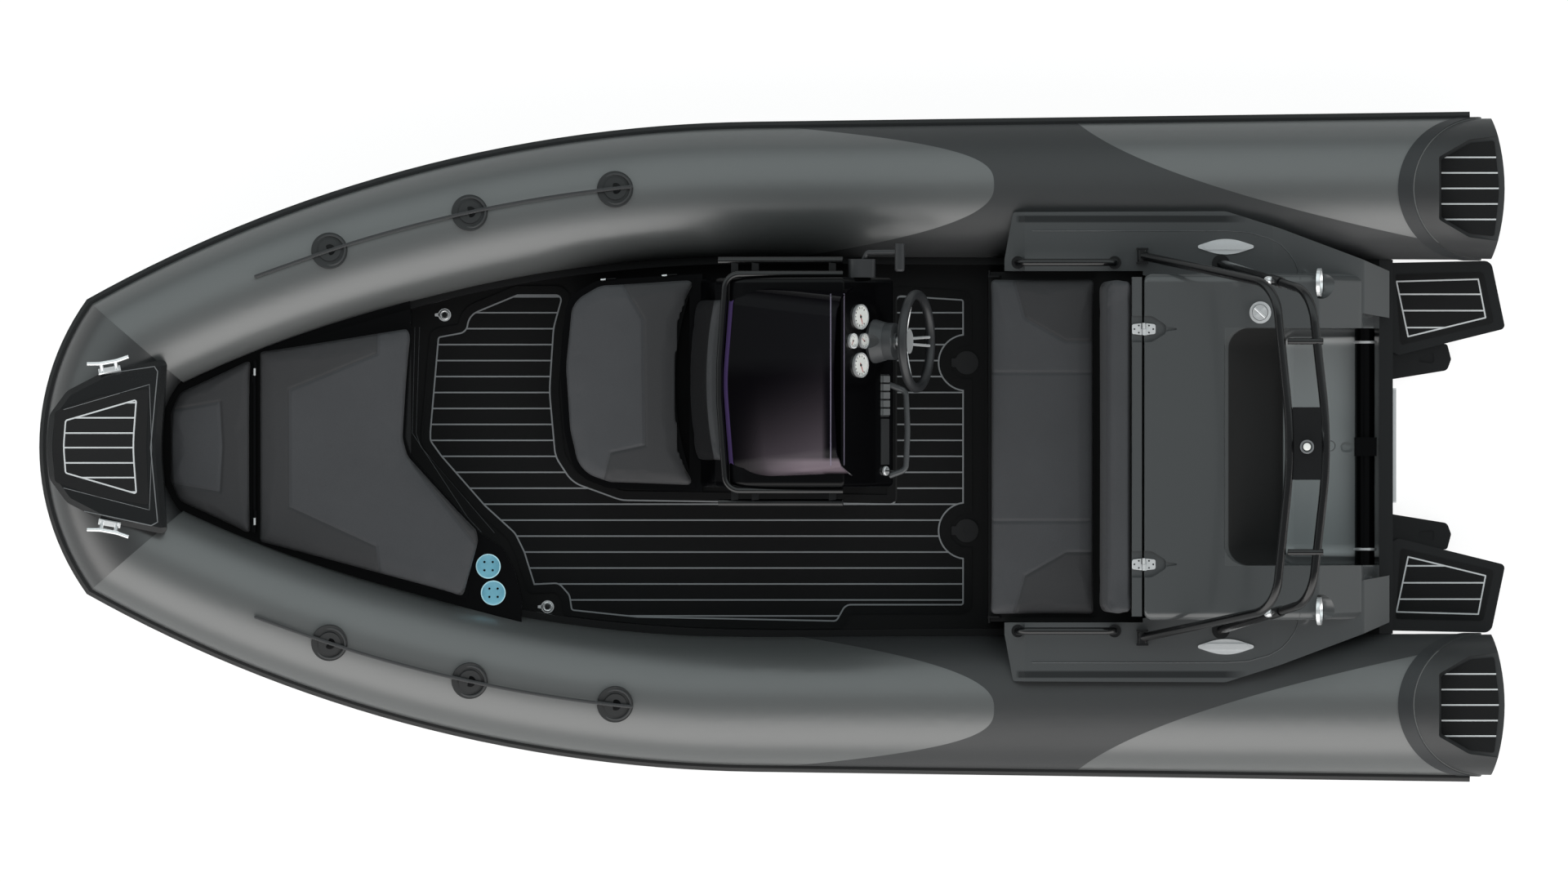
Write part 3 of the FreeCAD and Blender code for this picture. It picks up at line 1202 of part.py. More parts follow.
def bench_lid():
    bottom = BENCH_TOP_Z + RUNNING_GAP
    lid_top = bottom + BENCH_LID_THICKNESS
    w = BENCH_HALF_WIDTH
    front = BENCH_PIN_X
    outline = [(front, -w, 14), (front, w, 14), (BENCH_AFT_X, w, 6), (BENCH_AFT_X, -w, 6)]
    lid = plan_prism(outline, bottom, lid_top)
    cushion = plan_prism(outline, lid_top, BENCH_CUSHION_TOP_Z)
    arms, brackets = [], []
    for side in (-1, 1):
        y = side * (w + 4)
        arm = side_prism([
            (front - 40, bottom, 0), (front - 10, bottom, 0), (front + 6, BENCH_PIN_Z - 4, 4),
            (front + 6, BENCH_PIN_Z + 6, 4), (front - 40, BENCH_PIN_Z + 6, 10)], y - 3, y + 3)
        tie = box(front - 40, front - 10, min(y, y - side * 30), max(y, y - side * 30),
                  bottom, bottom + 8)
        pin = rod(V(front, y, BENCH_PIN_Z), V(front, y + side * 20, BENCH_PIN_Z), 8)
        arms.append(arm.fuse([tie, pin]))
    lid = lid.fuse(arms).removeSplitter()
    save("bench_lid", [lid])
    save("bench_cushion", [cushion.cut(arms)])


def stern_top(x):
    return BACKREST_HINGE[1] - (BACKREST_HINGE[0] - x) * STERN_TOP_SLOPE


def side_deck_solid():
    """Deck over the port tube beside the bench, running aft to the transom."""
    deck = plan_prism(SIDE_DECK_OUTLINE, 300, SIDE_DECK_Z)
    aft_slope = side_prism([
        (-1700, SIDE_DECK_Z + 1, 0), (-2012, 430, 60), (-2200, 230, 0), (-2200, 700, 0),
        (-1700, 700, 0)], -900, 900)
    front_slope = side_prism([
        (-860, SIDE_DECK_Z + 1, 0), (-700, 400, 0), (-600, 700, 0)], -900, 900)
    return deck.cut([aft_slope, front_slope])


def stern_moulding(liner, hull):
    hinge_x, hinge_z = BACKREST_HINGE
    aft_x = COCKPIT_AFT_X
    profile = [
        (hinge_x - 1, BENCH_TOP_Z, 0), (hinge_x - 1, hinge_z, 8), (WELL_FRONT_X, stern_top(WELL_FRONT_X), 0),
        (-1850, stern_top(-1850), 80), (-2010, 430, 80), (aft_x, TRANSOM_TOP_Z + 20, 0),
        (aft_x, FLOOR_Z, 0), (hinge_x - 1, FLOOR_Z, 0)]
    block = side_prism(profile, -590, 590)
    shoulder = []
    for edge in block.Edges:
        span = edge.BoundBox
        if span.YMax - span.YMin < 1 and span.ZMin > 400 and edge.Length > 100 and span.XMax < hinge_x:
            shoulder.append(edge)
    block = block.makeFillet(30.0, shoulder)
    decks = both(side_deck_solid())
    body = block.fuse(decks)
    slope = [
        (WELL_FRONT_X, 900, 0), (WELL_FRONT_X, stern_top(WELL_FRONT_X), 0),
        (WELL_FOOT_X, WELL_FLOOR_Z, 60), (-2300, WELL_FLOOR_Z, 0), (-2300, 900, 0)]
    well = side_prism(slope, -WELL_HALF_WIDTH, WELL_HALF_WIDTH)
    corners = [
        edge for edge in well.Edges
        if edge.BoundBox.YMax - edge.BoundBox.YMin < 1 and edge.Length > 300
        and edge.BoundBox.XMin < WELL_FRONT_X - 50 and edge.BoundBox.XMax < WELL_FRONT_X + 1
        and edge.BoundBox.ZMax < 800 and edge.BoundBox.ZMin > 140 and edge.BoundBox.XMin > -2200]
    well = well.makeFillet(70.0, corners)
    body = body.cut([well, liner, hull] + STERN_TUBES)
    bench_hole = box(hinge_x, -500, -BENCH_HALF_WIDTH - 22, BENCH_HALF_WIDTH + 22, 0, 900)
    drain_x, drain_y = WELL_DRAIN
    drain = plan_prism([
        (drain_x - 20, drain_y - 18, 17), (drain_x + 20, drain_y - 18, 17),
        (drain_x + 20, drain_y + 18, 17), (drain_x - 20, drain_y + 18, 17)],
        WELL_FLOOR_Z - 12, WELL_FLOOR_Z + 10)
    body = body.cut([bench_hole, fuel_pocket(), bench_pin_holes(), drain] + round_pockets())
    body = body.cut(hinge_pockets() + both(BAND_CLEAR) + engine_bolt_holes())
    body = max(body.Solids, key=lambda s: s.Volume)
    save("stern_moulding", [body])
    return body


def bench_pin_holes():
    return Part.makeCompound([
        rod(V(BENCH_PIN_X, side * (BENCH_HALF_WIDTH - 10), BENCH_PIN_Z),
            V(BENCH_PIN_X, side * (BENCH_HALF_WIDTH + 30), BENCH_PIN_Z), 8 + 2 * RUNNING_GAP)
        for side in (-1, 1)])


def stern_normal():
    return V(-math.sin(math.radians(12.8)), 0, math.cos(math.radians(12.8)))


def fuel_pocket():
    x, y = FUEL_PLACE
    seat = V(x, y, stern_top(x))
    return Part.makeCylinder(FUEL_DIAMETER / 2 + RUNNING_GAP, 40, seat - stern_normal() * 3, stern_normal())


def fuel_filler():
    x, y = FUEL_PLACE
    seat = V(x, y, stern_top(x)) - stern_normal() * 3
    cap = Part.makeCylinder(FUEL_DIAMETER / 2, 8, seat, stern_normal())
    lid = Part.makeCylinder(FUEL_DIAMETER / 2 - 10, 13, seat, stern_normal())
    slope = V(stern_normal().z, 0, -stern_normal().x)
    bar = placed(Part.makeBox(44, 9, 18, V(-22, -4.5, 0)), seat, slope + V(0, 1, 0), V(0, 1, 0) - slope)
    save("fuel_filler", [cap.fuse([lid, bar])])


def round_pockets():
    x, y = ROUND_FITTING
    z = stern_top(x) - 20
    pocket = Part.makeCylinder(ROUND_FITTING_DIAMETER / 2 + 8, 260, V(x, y, z), V(-1, 0, 0.15))
    return [pocket, mirrored(pocket)]


def stern_round_fittings():
    x, y = ROUND_FITTING
    z = stern_top(x) - 20
    axis = V(-1, 0, 0.15).normalize()
    disc = Part.makeCylinder(ROUND_FITTING_DIAMETER / 2, 12, V(x, y, z), axis)
    dish = Part.makeCone(ROUND_FITTING_DIAMETER / 2 - 12, ROUND_FITTING_DIAMETER / 2 - 6, 8,
                         V(x, y, z) + axis * 6, axis)
    save("stern_round_fittings", both(disc.cut(dish)))


def hinge_frame(y):
    """Origin and directions of a hinge's bed: aft down the stern's slope, and to starboard."""
    hx, hz = BACKREST_HINGE
    normal = stern_normal()
    return V(hx, y, hz - HINGE_POCKET_DEPTH), V(-normal.z, 0, normal.x), V(0, -1, 0)


def hinge_pockets():
    """Rounded beds for the hinges, each running out aft in a shallow tail."""
    pockets = []
    for y in HINGE_YS:
        origin, aft, starboard = hinge_frame(y)
        pockets.append(placed(plan_prism(HINGE_POCKET, 0, 60), origin, aft, starboard))
        rise = HINGE_POCKET_DEPTH - HINGE_TAIL_DEPTH
        pockets.append(placed(plan_prism(HINGE_TAIL, rise, 60), origin, aft, starboard))
    return pockets


def backrest():
    """Aft bench backrest that lifts about its top edge, with two hinges."""
    hx, hz = BACKREST_HINGE
    w = BENCH_HALF_WIDTH
    shell = side_prism([
        (BACKREST_SHELL_X, BACKREST_BOTTOM_Z, 0), (BACKREST_SHELL_X, hz - 4, 6),
        (hx + MOVING_GAP, hz - 4, 3), (hx + MOVING_GAP, BACKREST_BOTTOM_Z, 3)], -w, w)
    cushion = side_prism([
        (BACKREST_FRONT_X, BACKREST_BOTTOM_Z, 12), (BACKREST_FRONT_X - 34, hz - 12, 30),
        (BACKREST_SHELL_X, hz - 2, 6), (BACKREST_SHELL_X, BACKREST_BOTTOM_Z, 0)], -w, w)
    half = HINGE_LENGTH / 2
    bed = hz - HINGE_POCKET_DEPTH
    leaves, knuckles, beds = [], [], []
    for y in HINGE_YS:
        pin = V(hx, y, hz)
        leaf = plan_prism([(hx + u, y + v, r) for u, v, r in HINGE_LEAF], bed, bed + HINGE_LEAF_THICKNESS)
        neck = box(hx, hx + 9, y - half, y - RUNNING_GAP, bed, hz)
        moving = rod(pin - V(0, half, 0), pin - V(0, RUNNING_GAP, 0), HINGE_PIN)
        leaves.append(moving.fuse([leaf, neck]))
        beds.append(box(hx, BACKREST_SHELL_X, y - 45, y + 45, bed, hz))
        origin, aft, starboard = hinge_frame(y)
        leaf = placed(plan_prism(HINGE_LEAF, 0, HINGE_LEAF_THICKNESS), origin, aft, starboard)
        neck = box(hx - 9, hx, y + RUNNING_GAP, y + half, bed, hz)
        fixed = rod(pin + V(0, RUNNING_GAP, 0), pin + V(0, half, 0), HINGE_PIN)
        knuckles.append(fixed.fuse([leaf, neck]))
    shell = shell.cut(beds).fuse(leaves)
    save("backrest_shell", [shell])
    save("backrest_cushion", [cushion])
    return knuckles


def side_handrails():
    """Low rails along the side decks beside the bench."""
    rails = []
    fore, aft = HANDRAIL_XS
    z = SIDE_DECK_Z
    for side in (-1, 1):
        y = side * HANDRAIL_Y
        bar = tube_along([
            (fore, y, z + 1), (fore, y, z + HANDRAIL_RISE), (aft, y, z + HANDRAIL_RISE), (aft, y, z + 1)],
            [0, 38, 38, 0], SIDE_RAIL_DIAMETER)
        feet = [Part.makeCylinder(22, 5, V(x, y, z)) for x in HANDRAIL_XS]
        rails.append(bar.fuse(feet))
    save("side_handrails", rails)


def popup_cleats():
    """Flush pull-up cleats: a leaf-shaped plate with the horn lying along it."""
    x, y = POPUP_CLEAT
    plate = plan_prism([(x - 108, y, 6), (x, y - 36, 180), (x + 108, y, 6), (x, y + 36, 180)],
                       SIDE_DECK_Z, SIDE_DECK_Z + 4)
    horn = plan_prism([(x - 74, y - 10, 9), (x + 74, y - 10, 9), (x + 74, y + 10, 9),
                       (x - 74, y + 10, 9)], SIDE_DECK_Z, SIDE_DECK_Z + 9)
    save("popup_cleats", both(plate.fuse(horn)))


def well_fittings(stern):
    """The cross tube in the motor well, and the engine plate on the transom."""
    z = WELL_FLOOR_Z + 50
    radius = WELL_TUBE_DIAMETER / 2
    half = WELL_HALF_WIDTH - 0.5
    tube = Part.makeCylinder(radius, 2 * half, V(WELL_TUBE_X, -half, z), V(0, 1, 0))
    collars = [Part.makeCylinder(radius + 6, 8, V(WELL_TUBE_X, y - 4, z), V(0, 1, 0))
               for y in WELL_COLLAR_YS]
    saddle = box(WELL_TUBE_X - 40, WELL_TUBE_X + 36, -32, 32, WELL_FLOOR_Z, z + 44)
    save("well_tube", [tube.fuse(collars + [saddle]).cut(stern)])
    plate = box(ENGINE_PLATE_X, TRANSOM_X, *ENGINE_PLATE_YS, *ENGINE_PLATE_ZS)
    plate = plate.makeFillet(3, [edge for edge in plate.Edges if edge.BoundBox.XLength > 5])
    save("engine_plate", [plate.cut(engine_bolt_holes())])


# Arch

def hoop(foot, corner, top):
    """A tube from one foot over the boat to the other, given to port."""
    port = [foot, corner]
    starboard = [(x, -y, z) for x, y, z in reversed(port)]
    return tube_along(port + [top] + starboard, [0, 130, 1500, 130, 0], ARCH_TUBE)


def arch():
    """The folding arch: hoops, rungs and lamp plate move; ears and aft stubs stay."""
    px, py, pz = ARCH_PIVOT
    foot = V(*ARCH_AFT_FOOT)
    corner = V(*ARCH_AFT_CORNER)
    split = foot + (corner - foot) * ARCH_SPLIT
    heading = (corner - foot).normalize()
    front_hoop = hoop(ARCH_PIVOT, ARCH_FRONT_CORNER, ARCH_FRONT_TOP)
    aft_hoop = hoop(tuple(split), ARCH_AFT_CORNER, ARCH_AFT_TOP)
    lug = rod(V(px, py - ARCH_LUG_HALF, pz), V(px, py + ARCH_LUG_HALF, pz), 34)
    sleeve = Part.makeCylinder(19, 70, split, heading)
    knob = Part.makeCylinder(12, 34, split + heading * 18, V(0.8, 0, 0.6))
    rung = rod(V(-1742, ARCH_RUNG_Y, 1098), V(-1862, ARCH_RUNG_Y, 1092), 22)
    plate = box(-1862, -1758, -134, 112, 1095, 1107)
    moving = [plate] + both(lug) + both(sleeve) + both(knob) + both(rung)
    save("arch_frame", [front_hoop.fuse([aft_hoop] + moving)])
    stub = rod(foot, split - heading * RUNNING_GAP, ARCH_TUBE)
    stub = stub.fuse(Part.makeCylinder(30, 8, V(foot.x, foot.y, SIDE_DECK_Z)))
    stub = stub.cut(box(-2200, -1000, -900, 900, 300, SIDE_DECK_Z))
    stubs = both(stub)
    for way in (-1, 1):
        low, high = sorted(py + way * (ARCH_LUG_HALF + ARCH_EAR_GAP + t) for t in (0, ARCH_EAR))
        stubs += both(box(px - 20, px + 20, low, high, SIDE_DECK_Z, pz + 14))
    save("arch_stubs", stubs)
    light = Part.makeCylinder(23, 40, V(-1806, 0, 1107))
    save("arch_light", [light.makeFillet(8, [light.Edges[0]])])


# Swim platforms

def swim_platforms():
    """Boarding platforms beside the engine, with their brackets and pads."""
    bottom = PLATFORM_TOP_Z - PLATFORM_THICKNESS
    plate = plan_prism(PLATFORM_OUTLINE, bottom, PLATFORM_TOP_Z)
    bracket = side_prism([
        (TRANSOM_X, bottom, 0), (-2330, bottom, 0), (TRANSOM_X, 20, 0)], 455, 480)
    body = plate.fuse(bracket).cut(STERN_TUBES)
    save("swim_platforms", both(max(body.Solids, key=lambda s: s.Volume)))
    top = PLATFORM_TOP_Z + PLATFORM_PAD
    pad = plan_prism(PLATFORM_PAD_OUTLINE, PLATFORM_TOP_Z, top).cut(STERN_TUBES)
    skin = pad.common(plan_prism(PLATFORM_PAD_OUTLINE, top - PAD_LINE_DEPTH, top))
    lines = pad_lines(PLATFORM_LINE, PLATFORM_LINE_YS, skin)
    save("swim_platform_pads", both(pad.cut(lines)))
    return lines


# Lifelines and deck fittings

def tube_roof(x, offset, lift):
    """Point above the port tube near station x, offset outboard of its crown."""
    point, outboard, up = side_frame(x)
    r = tube_radius(x)
    roll = math.asin(offset / r)
    return point + outboard * (-STRAKE_DEPTH - r + (r + lift) * math.sin(roll)) \
        + up * ((r + lift) * math.cos(roll)), outboard * math.sin(roll) + up * math.cos(roll)


def lifelines():
    patches = []
    for x in PATCH_XS:
        seat, normal = tube_roof(x, LIFELINE_OFFSET, -12.0)
        disc = Part.makeCylinder(PATCH_RADIUS, 20, seat, normal)
        boss = Part.makeCylinder(PATCH_RADIUS * 0.62, 26, seat, normal)
        patch = disc.fuse(boss).cut(FORE_CLEAR)
        patches.append(patch)
    points = []
    for x, lift in ROPE_STATIONS:
        points.append(tube_roof(float(x), LIFELINE_OFFSET, lift)[0])
    radii = [0, 900, 900, 900, 900, 300, 0]
    rope = tube_along([tuple(p) for p in points], radii, ROPE)
    hole = tube_along([tuple(p) for p in points], radii, ROPE + 2 * RUNNING_GAP)
    patches = [p.cut(hole) for p in patches]
    save("lifeline_patches", [s for p in patches for s in both(p)])
    save("lifeline_rope_port", [rope])
    save("lifeline_rope_starboard", [mirrored(rope)])


def deck_pad_eyes():
    eyes = []
    for x, y in PAD_EYE_PLACES:
        plate = Part.makeCylinder(22, 4, V(x, y, FLOOR_Z))
        ring = Part.makeTorus(14, 4, V(x, y, FLOOR_Z + 7))
        eyes.append(plate.fuse(ring))
    save("deck_pad_eyes", eyes)


tubes()
CAP_LINES = tube_ends()
rubbing_strake()
HULL = hull_shell()
LINER = deck_liner()
floor_decking()
floor_sockets()
bow_locker(HULL, LINER)
cup_holders()
BOW_POSTS = bow_lids()
BOW_MOULDING, BOW_LINES = bow_moulding()
bow_cleats(BOW_MOULDING)
CONSOLE_BODY = console_body()
seat_base()
SEAT_POSTS = seat_lid()
console_backrest()
windshield()
windshield_rail()
console_side_rails()
gauges()
switch_panel()
throttle_control()
console_grab_handle()
steering()
bench_base(LINER)
bench_lid()
STERN = stern_moulding(LINER, HULL)
fuel_filler()
stern_round_fittings()
BACKREST_POSTS = backrest()
side_handrails()
popup_cleats()
well_fittings(STERN)
arch()
PLATFORM_LINES = swim_platforms()
lifelines()
deck_pad_eyes()
save("hinge_posts", BOW_POSTS + SEAT_POSTS + BACKREST_POSTS)
SIDE_LINES = CAP_LINES + [PLATFORM_LINES]
save("pad_inlay_lines", [BOW_LINES] + SIDE_LINES + [mirrored(line) for line in SIDE_LINES])
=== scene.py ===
import math

import bpy
import numpy as np
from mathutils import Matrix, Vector
from mathutils.bvhtree import BVHTree


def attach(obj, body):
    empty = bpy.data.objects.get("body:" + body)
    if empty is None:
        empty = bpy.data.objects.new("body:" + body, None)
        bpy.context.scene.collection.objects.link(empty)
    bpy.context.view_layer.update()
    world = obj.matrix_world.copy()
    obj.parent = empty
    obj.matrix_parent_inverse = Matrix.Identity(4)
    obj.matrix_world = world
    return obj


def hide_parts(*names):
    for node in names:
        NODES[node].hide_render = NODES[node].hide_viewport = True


# The looks of a rigid inflatable boat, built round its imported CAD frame.
# Metres. X forward, Y to port, Z up, origin amidships at the waterline.

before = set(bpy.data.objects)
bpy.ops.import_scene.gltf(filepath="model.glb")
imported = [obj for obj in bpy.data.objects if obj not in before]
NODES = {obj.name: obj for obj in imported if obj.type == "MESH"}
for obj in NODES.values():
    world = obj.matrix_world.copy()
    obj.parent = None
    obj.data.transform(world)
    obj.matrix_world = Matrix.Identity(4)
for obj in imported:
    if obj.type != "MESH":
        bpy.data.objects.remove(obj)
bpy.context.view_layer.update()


# Colours

def tone(red, green, blue):
    """Linear colour of a screen colour given in steps of 255."""
    steps = np.array([red, green, blue]) / 255.0
    linear = np.where(steps <= 0.04045, steps / 12.92, ((steps + 0.055) / 1.055) ** 2.4)
    return (*[float(v) for v in linear], 1.0)


# Materials: sockets as values, and a material under construction

class Value:
    """A socket carrying a number over the surface; an operator on it adds its Math node."""

    def __init__(self, tree, socket):
        self.tree = tree
        self.socket = socket

    def maths(self, operation, *others, clamp=False):
        node = self.tree.nodes.new("ShaderNodeMath")
        node.operation = operation
        node.use_clamp = clamp
        for index, item in enumerate(others):
            plug(self.tree, item, node.inputs[index])
        return Value(self.tree, node.outputs[0])

    def __add__(self, other):
        return self.maths("ADD", self, other)

    def __sub__(self, other):
        return self.maths("SUBTRACT", self, other)

    def __mul__(self, other):
        return self.maths("MULTIPLY", self, other)

    def __truediv__(self, other):
        return self.maths("DIVIDE", self, other)

    def __pow__(self, other):
        return self.maths("POWER", self, other)

    def __rsub__(self, other):
        return self.maths("SUBTRACT", other, self)

    __radd__ = __add__
    __rmul__ = __mul__

    def __neg__(self):
        return 0.0 - self

    def __abs__(self):
        return self.maths("ABSOLUTE", self)

    def most(self, other):
        return self.maths("MAXIMUM", self, other)

    def wave(self, pitch):
        """Triangle wave of a distance: 0 on each multiple of the pitch, half a pitch between."""
        return self.maths("PINGPONG", self, pitch / 2.0)

    def ramp(self, low, high):
        """0 below low, 1 above high, straight between."""
        return self.maths("ADD", (self - low) / (high - low), 0.0, clamp=True)

    def between(self, low, high, rise=0.002, fall=0.002):
        """1 between two limits, with a ramp inside each, 0 beyond them."""
        return (self - low).ramp(0.0, rise) * (high - self).ramp(0.0, fall)


def plug(tree, item, socket):
    if isinstance(item, Value):
        tree.links.new(item.socket, socket)
    elif hasattr(item, "is_output"):
        tree.links.new(item, socket)
    else:
        socket.default_value = item


def xyz(tree, vector):
    """The three values of a vector's socket."""
    split = tree.nodes.new("ShaderNodeSeparateXYZ")
    tree.links.new(vector, split.inputs[0])
    return [Value(tree, socket) for socket in split.outputs]


def bare_tree(owner, output_kind):
    """The emptied node tree of a material or world, and the Surface socket of its new output."""
    owner.use_nodes = True
    owner.node_tree.nodes.clear()
    return owner.node_tree, owner.node_tree.nodes.new(output_kind).inputs["Surface"]


def blended(tree, share, first, second):
    """Output of a mix of two shaders by a share."""
    node = tree.nodes.new("ShaderNodeMixShader")
    for item, socket in zip((share, first, second), node.inputs):
        plug(tree, item, socket)
    return node.outputs[0]


class Finish:
    """A material of a Principled shader; what varies is linked, what doesn't is set."""

    def __init__(self, name, **uniform):
        self.material = bpy.data.materials.new(name)
        self.tree, surface = bare_tree(self.material, "ShaderNodeOutputMaterial")
        self.shader = self.tree.nodes.new("ShaderNodeBsdfPrincipled")
        self.tree.links.new(self.shader.outputs[0], surface)
        self.place = self.node("ShaderNodeTexCoord", out="Object")
        for socket, amount in uniform.items():
            self.shader.inputs[socket.replace("_", " ").title().replace("Ior", "IOR")].default_value = amount

    def node(self, kind, settings=None, out=0, **sockets):
        """Adds a node; a socket is given by its name, or by i and its number. Returns an output."""
        node = self.tree.nodes.new(kind)
        for name, amount in (settings or {}).items():
            setattr(node, name, amount)
        for name, item in sockets.items():
            key = int(name[1:]) if name[0] == "i" and name[1:].isdigit() else name.replace("_", " ")
            plug(self.tree, item, node.inputs[key])
        return node.outputs[out]

    def axes(self):
        """Object coordinates as three values in metres."""
        return xyz(self.tree, self.place)

    def attribute(self, name):
        return Value(self.tree, self.node("ShaderNodeAttribute", {"attribute_name": name}, out="Fac"))

    def noise(self, scale, detail=2.0, rough=0.5, place=None):
        """Noise over the object coordinates, or over another place."""
        return Value(self.tree, self.node(
            "ShaderNodeTexNoise", {"noise_dimensions": "3D"}, Scale=scale, Detail=detail,
            Roughness=rough, Vector=self.place if place is None else place))

    def cells(self, scale):
        return Value(self.tree, self.node(
            "ShaderNodeTexVoronoi", {"feature": "F1"}, Vector=self.place, Scale=scale))

    def mix(self, share, first, second):
        return self.node("ShaderNodeMix", {"data_type": "RGBA"}, out=2, i0=share, i6=first, i7=second)

    def colour(self, item):
        plug(self.tree, item, self.shader.inputs["Base Color"])

    def gloss(self, item):
        plug(self.tree, item, self.shader.inputs["Roughness"])

    def bump(self, height, depth, strength=1.0):
        normal = self.node("ShaderNodeBump", Height=height, Distance=depth, Strength=strength)
        self.tree.links.new(normal, self.shader.inputs["Normal"])


def woven(finish, scale):
    """Fine cross weave: the sum of two slanting triangle waves."""
    x, y, z = finish.axes()
    pitch = 1.0 / scale
    return ((x + z).wave(pitch) + (y - z).wave(pitch)) * scale


TONGUE_Y, TONGUE_TIP_X, TONGUE_REACH = 0.890, -0.754, 0.075     # tip of the fore panel's tongue
TONGUE_OUTER, TONGUE_INNER = (0.097, 3.06), (0.095, 2.35)       # width and power of its two sides
AFT_PANEL_Y, AFT_PANEL_X = 1.024, -1.167                        # start of the aft panel's curve
AFT_SLOPE, AFT_BEND = -1.9, 4.5
LAP = 0.0008


def tube_fabric(name, zoned):
    """Coated tube fabric: lighter fore and aft panels over a dark middle, fine weave, dust.
    The fore panel ends in a tongue whose sides fall back with a power of the place across, the
    aft one along a parabola."""
    finish = Finish(name, specular_ior_level=0.30, coat_ior=1.68, coat_roughness=0.30)
    x, y, _ = finish.axes()
    cloud = finish.noise(3.0, 4.0, 0.6)
    speck = finish.noise(260.0, 2.0)
    dark, light = tone(56, 57, 58), tone(82, 84, 84)
    if zoned:
        side = abs(y)
        outer = ((side - TONGUE_Y).most(0.0) / TONGUE_OUTER[0]) ** TONGUE_OUTER[1] * TONGUE_REACH
        inner = ((TONGUE_Y - side).most(0.0) / TONGUE_INNER[0]) ** TONGUE_INNER[1] * TONGUE_REACH
        fore = (x - (outer + inner + TONGUE_TIP_X)).ramp(-LAP, LAP)
        across = (AFT_PANEL_Y - side).most(-0.4)
        aft = (across * AFT_SLOPE - across * across * AFT_BEND + AFT_PANEL_X - x).ramp(-LAP, LAP)
        panel = fore.most(aft).most(x.ramp(0.0, 0.001))
        edge = abs(panel - 0.5).ramp(0.5, 0.2)
        base = finish.mix(panel, dark, light)
        height = woven(finish, 900.0) * 0.25 + speck * 0.5 + panel * 2.0 - edge
        shine = 0.46 - panel * 0.08
        coat = 0.12 + panel * 0.88
    else:
        # the bow tube: the same fabric in one darker tone, painted shade
        base = tone(34, 35, 36)
        height = woven(finish, 900.0) * 0.25 + speck * 0.5
        shine = 0.34
        coat = 1.0
    finish.colour(finish.mix((cloud * 0.5 + speck * 0.3) * 0.25, base, tone(40, 41, 42)))
    finish.gloss(cloud * 0.08 + speck * 0.06 + shine)
    plug(finish.tree, coat, finish.shader.inputs["Coat Weight"])
    finish.bump(height, 0.00025)
    return finish.material


def plain_rubber(name, colour, rough, grain=400.0, depth=0.0002):
    """Moulded rubber or plastic: fine grain with a slightly uneven shine."""
    finish = Finish(name, specular_ior_level=0.4)
    grains = finish.noise(grain, 3.0, 0.6)
    cloud = finish.noise(9.0, 3.0)
    finish.colour(finish.mix(cloud * 0.35, colour, tone(14, 14, 15)))
    finish.gloss(rough + grains * 0.1 + cloud * 0.08)
    finish.bump(grains, depth)
    return finish.material


WELL_FLOOR_Z = (0.165, 0.155)
WELL_WALL_XS, WELL_WALL_HALF, WELL_WALL_Z = (-1.748, -1.5375), 0.405, (0.640, 0.630)
DECK_RIM_YS, DECK_RIM_AFT_X, DECK_RIM_Z = (0.762, 0.790), -1.62, (0.500, 0.510)


def gelcoat(name, colour, rough=0.12, coat=0.5, well_floor=None, shine=0.4):
    """Moulded gelcoat: deep gloss with faint waves and fine rubbing marks. Where a colour for
    the well's floor is given, the engine well has that paler floor and a dull fore wall with
    painted shade, near black, and the side decks have a darker rim."""
    finish = Finish(name, coat_weight=coat, coat_roughness=0.05, specular_ior_level=shine)
    x, y, z = finish.axes()
    waves = finish.noise(6.0, 2.0, 0.4)
    marks = finish.noise(320.0, 4.0, 0.6)
    dull = 0.0
    if well_floor:
        side = abs(y)
        shaded_fore_wall = x.between(*WELL_WALL_XS) * (WELL_WALL_HALF - side).ramp(0.0, 0.002)
        rim = side.between(*DECK_RIM_YS, 0.006, 0.004)
        rim = rim * (x - DECK_RIM_AFT_X).ramp(0.0, 0.08) * z.ramp(*DECK_RIM_Z)
        colour = finish.mix(z.ramp(*WELL_FLOOR_Z), colour, well_floor)
        # painted shade: the steep fore wall of the well is coloured near black
        colour = finish.mix(shaded_fore_wall * z.ramp(*WELL_WALL_Z), colour, tone(3, 3, 3))
        colour = finish.mix(rim, colour, tone(34, 36, 37))
        dull = shaded_fore_wall * 0.7
        plug(finish.tree, (1.0 - shaded_fore_wall) * coat, finish.shader.inputs["Coat Weight"])
    finish.colour(finish.mix(marks * 0.06, colour, tone(40, 41, 43)))
    finish.gloss(dull + rough + marks.ramp(0.45, 0.8) * 0.05 + waves * 0.05)
    finish.bump(waves, 0.0006, 0.5)
    return finish.material


def foam_decking(name, deep, pale):
    """Closed-cell foam deck covering: dark, matt, brushed along the boat."""
    finish = Finish(name, specular_ior_level=0.2)
    brushed = finish.node("ShaderNodeMapping", Vector=finish.place, Scale=(60.0, 700.0, 60.0))
    hair = finish.noise(1.0, 4.0, 0.6, brushed)
    cloud = finish.noise(5.0, 3.0)
    finish.colour(finish.mix(hair * 0.5 + cloud * 0.2, deep, pale))
    finish.gloss(0.62 + hair * 0.2)
    finish.bump(hair, 0.0006)
    return finish.material


def upholstery(name, deep, pale, shine=0.35, sheen=0.06):
    """Marine vinyl: two tones parted at the seam line, pebbled grain, soft creases."""
    finish = Finish(name, specular_ior_level=shine, sheen_weight=sheen, sheen_roughness=0.4)
    panel = finish.attribute("panel").ramp(-0.0006, 0.0006)
    pebbles = finish.cells(620.0)
    cloud = finish.noise(4.0, 4.0, 0.6)
    base = finish.mix(panel, deep, pale)
    finish.colour(finish.mix(cloud * 0.35 + pebbles * 0.25, base, tone(36, 36, 38)))
    finish.gloss(0.46 + pebbles * 0.16 + cloud * 0.1)
    finish.bump(pebbles * -1.0 + finish.noise(38.0, 3.0) * 0.8, 0.0005)
    return finish.material


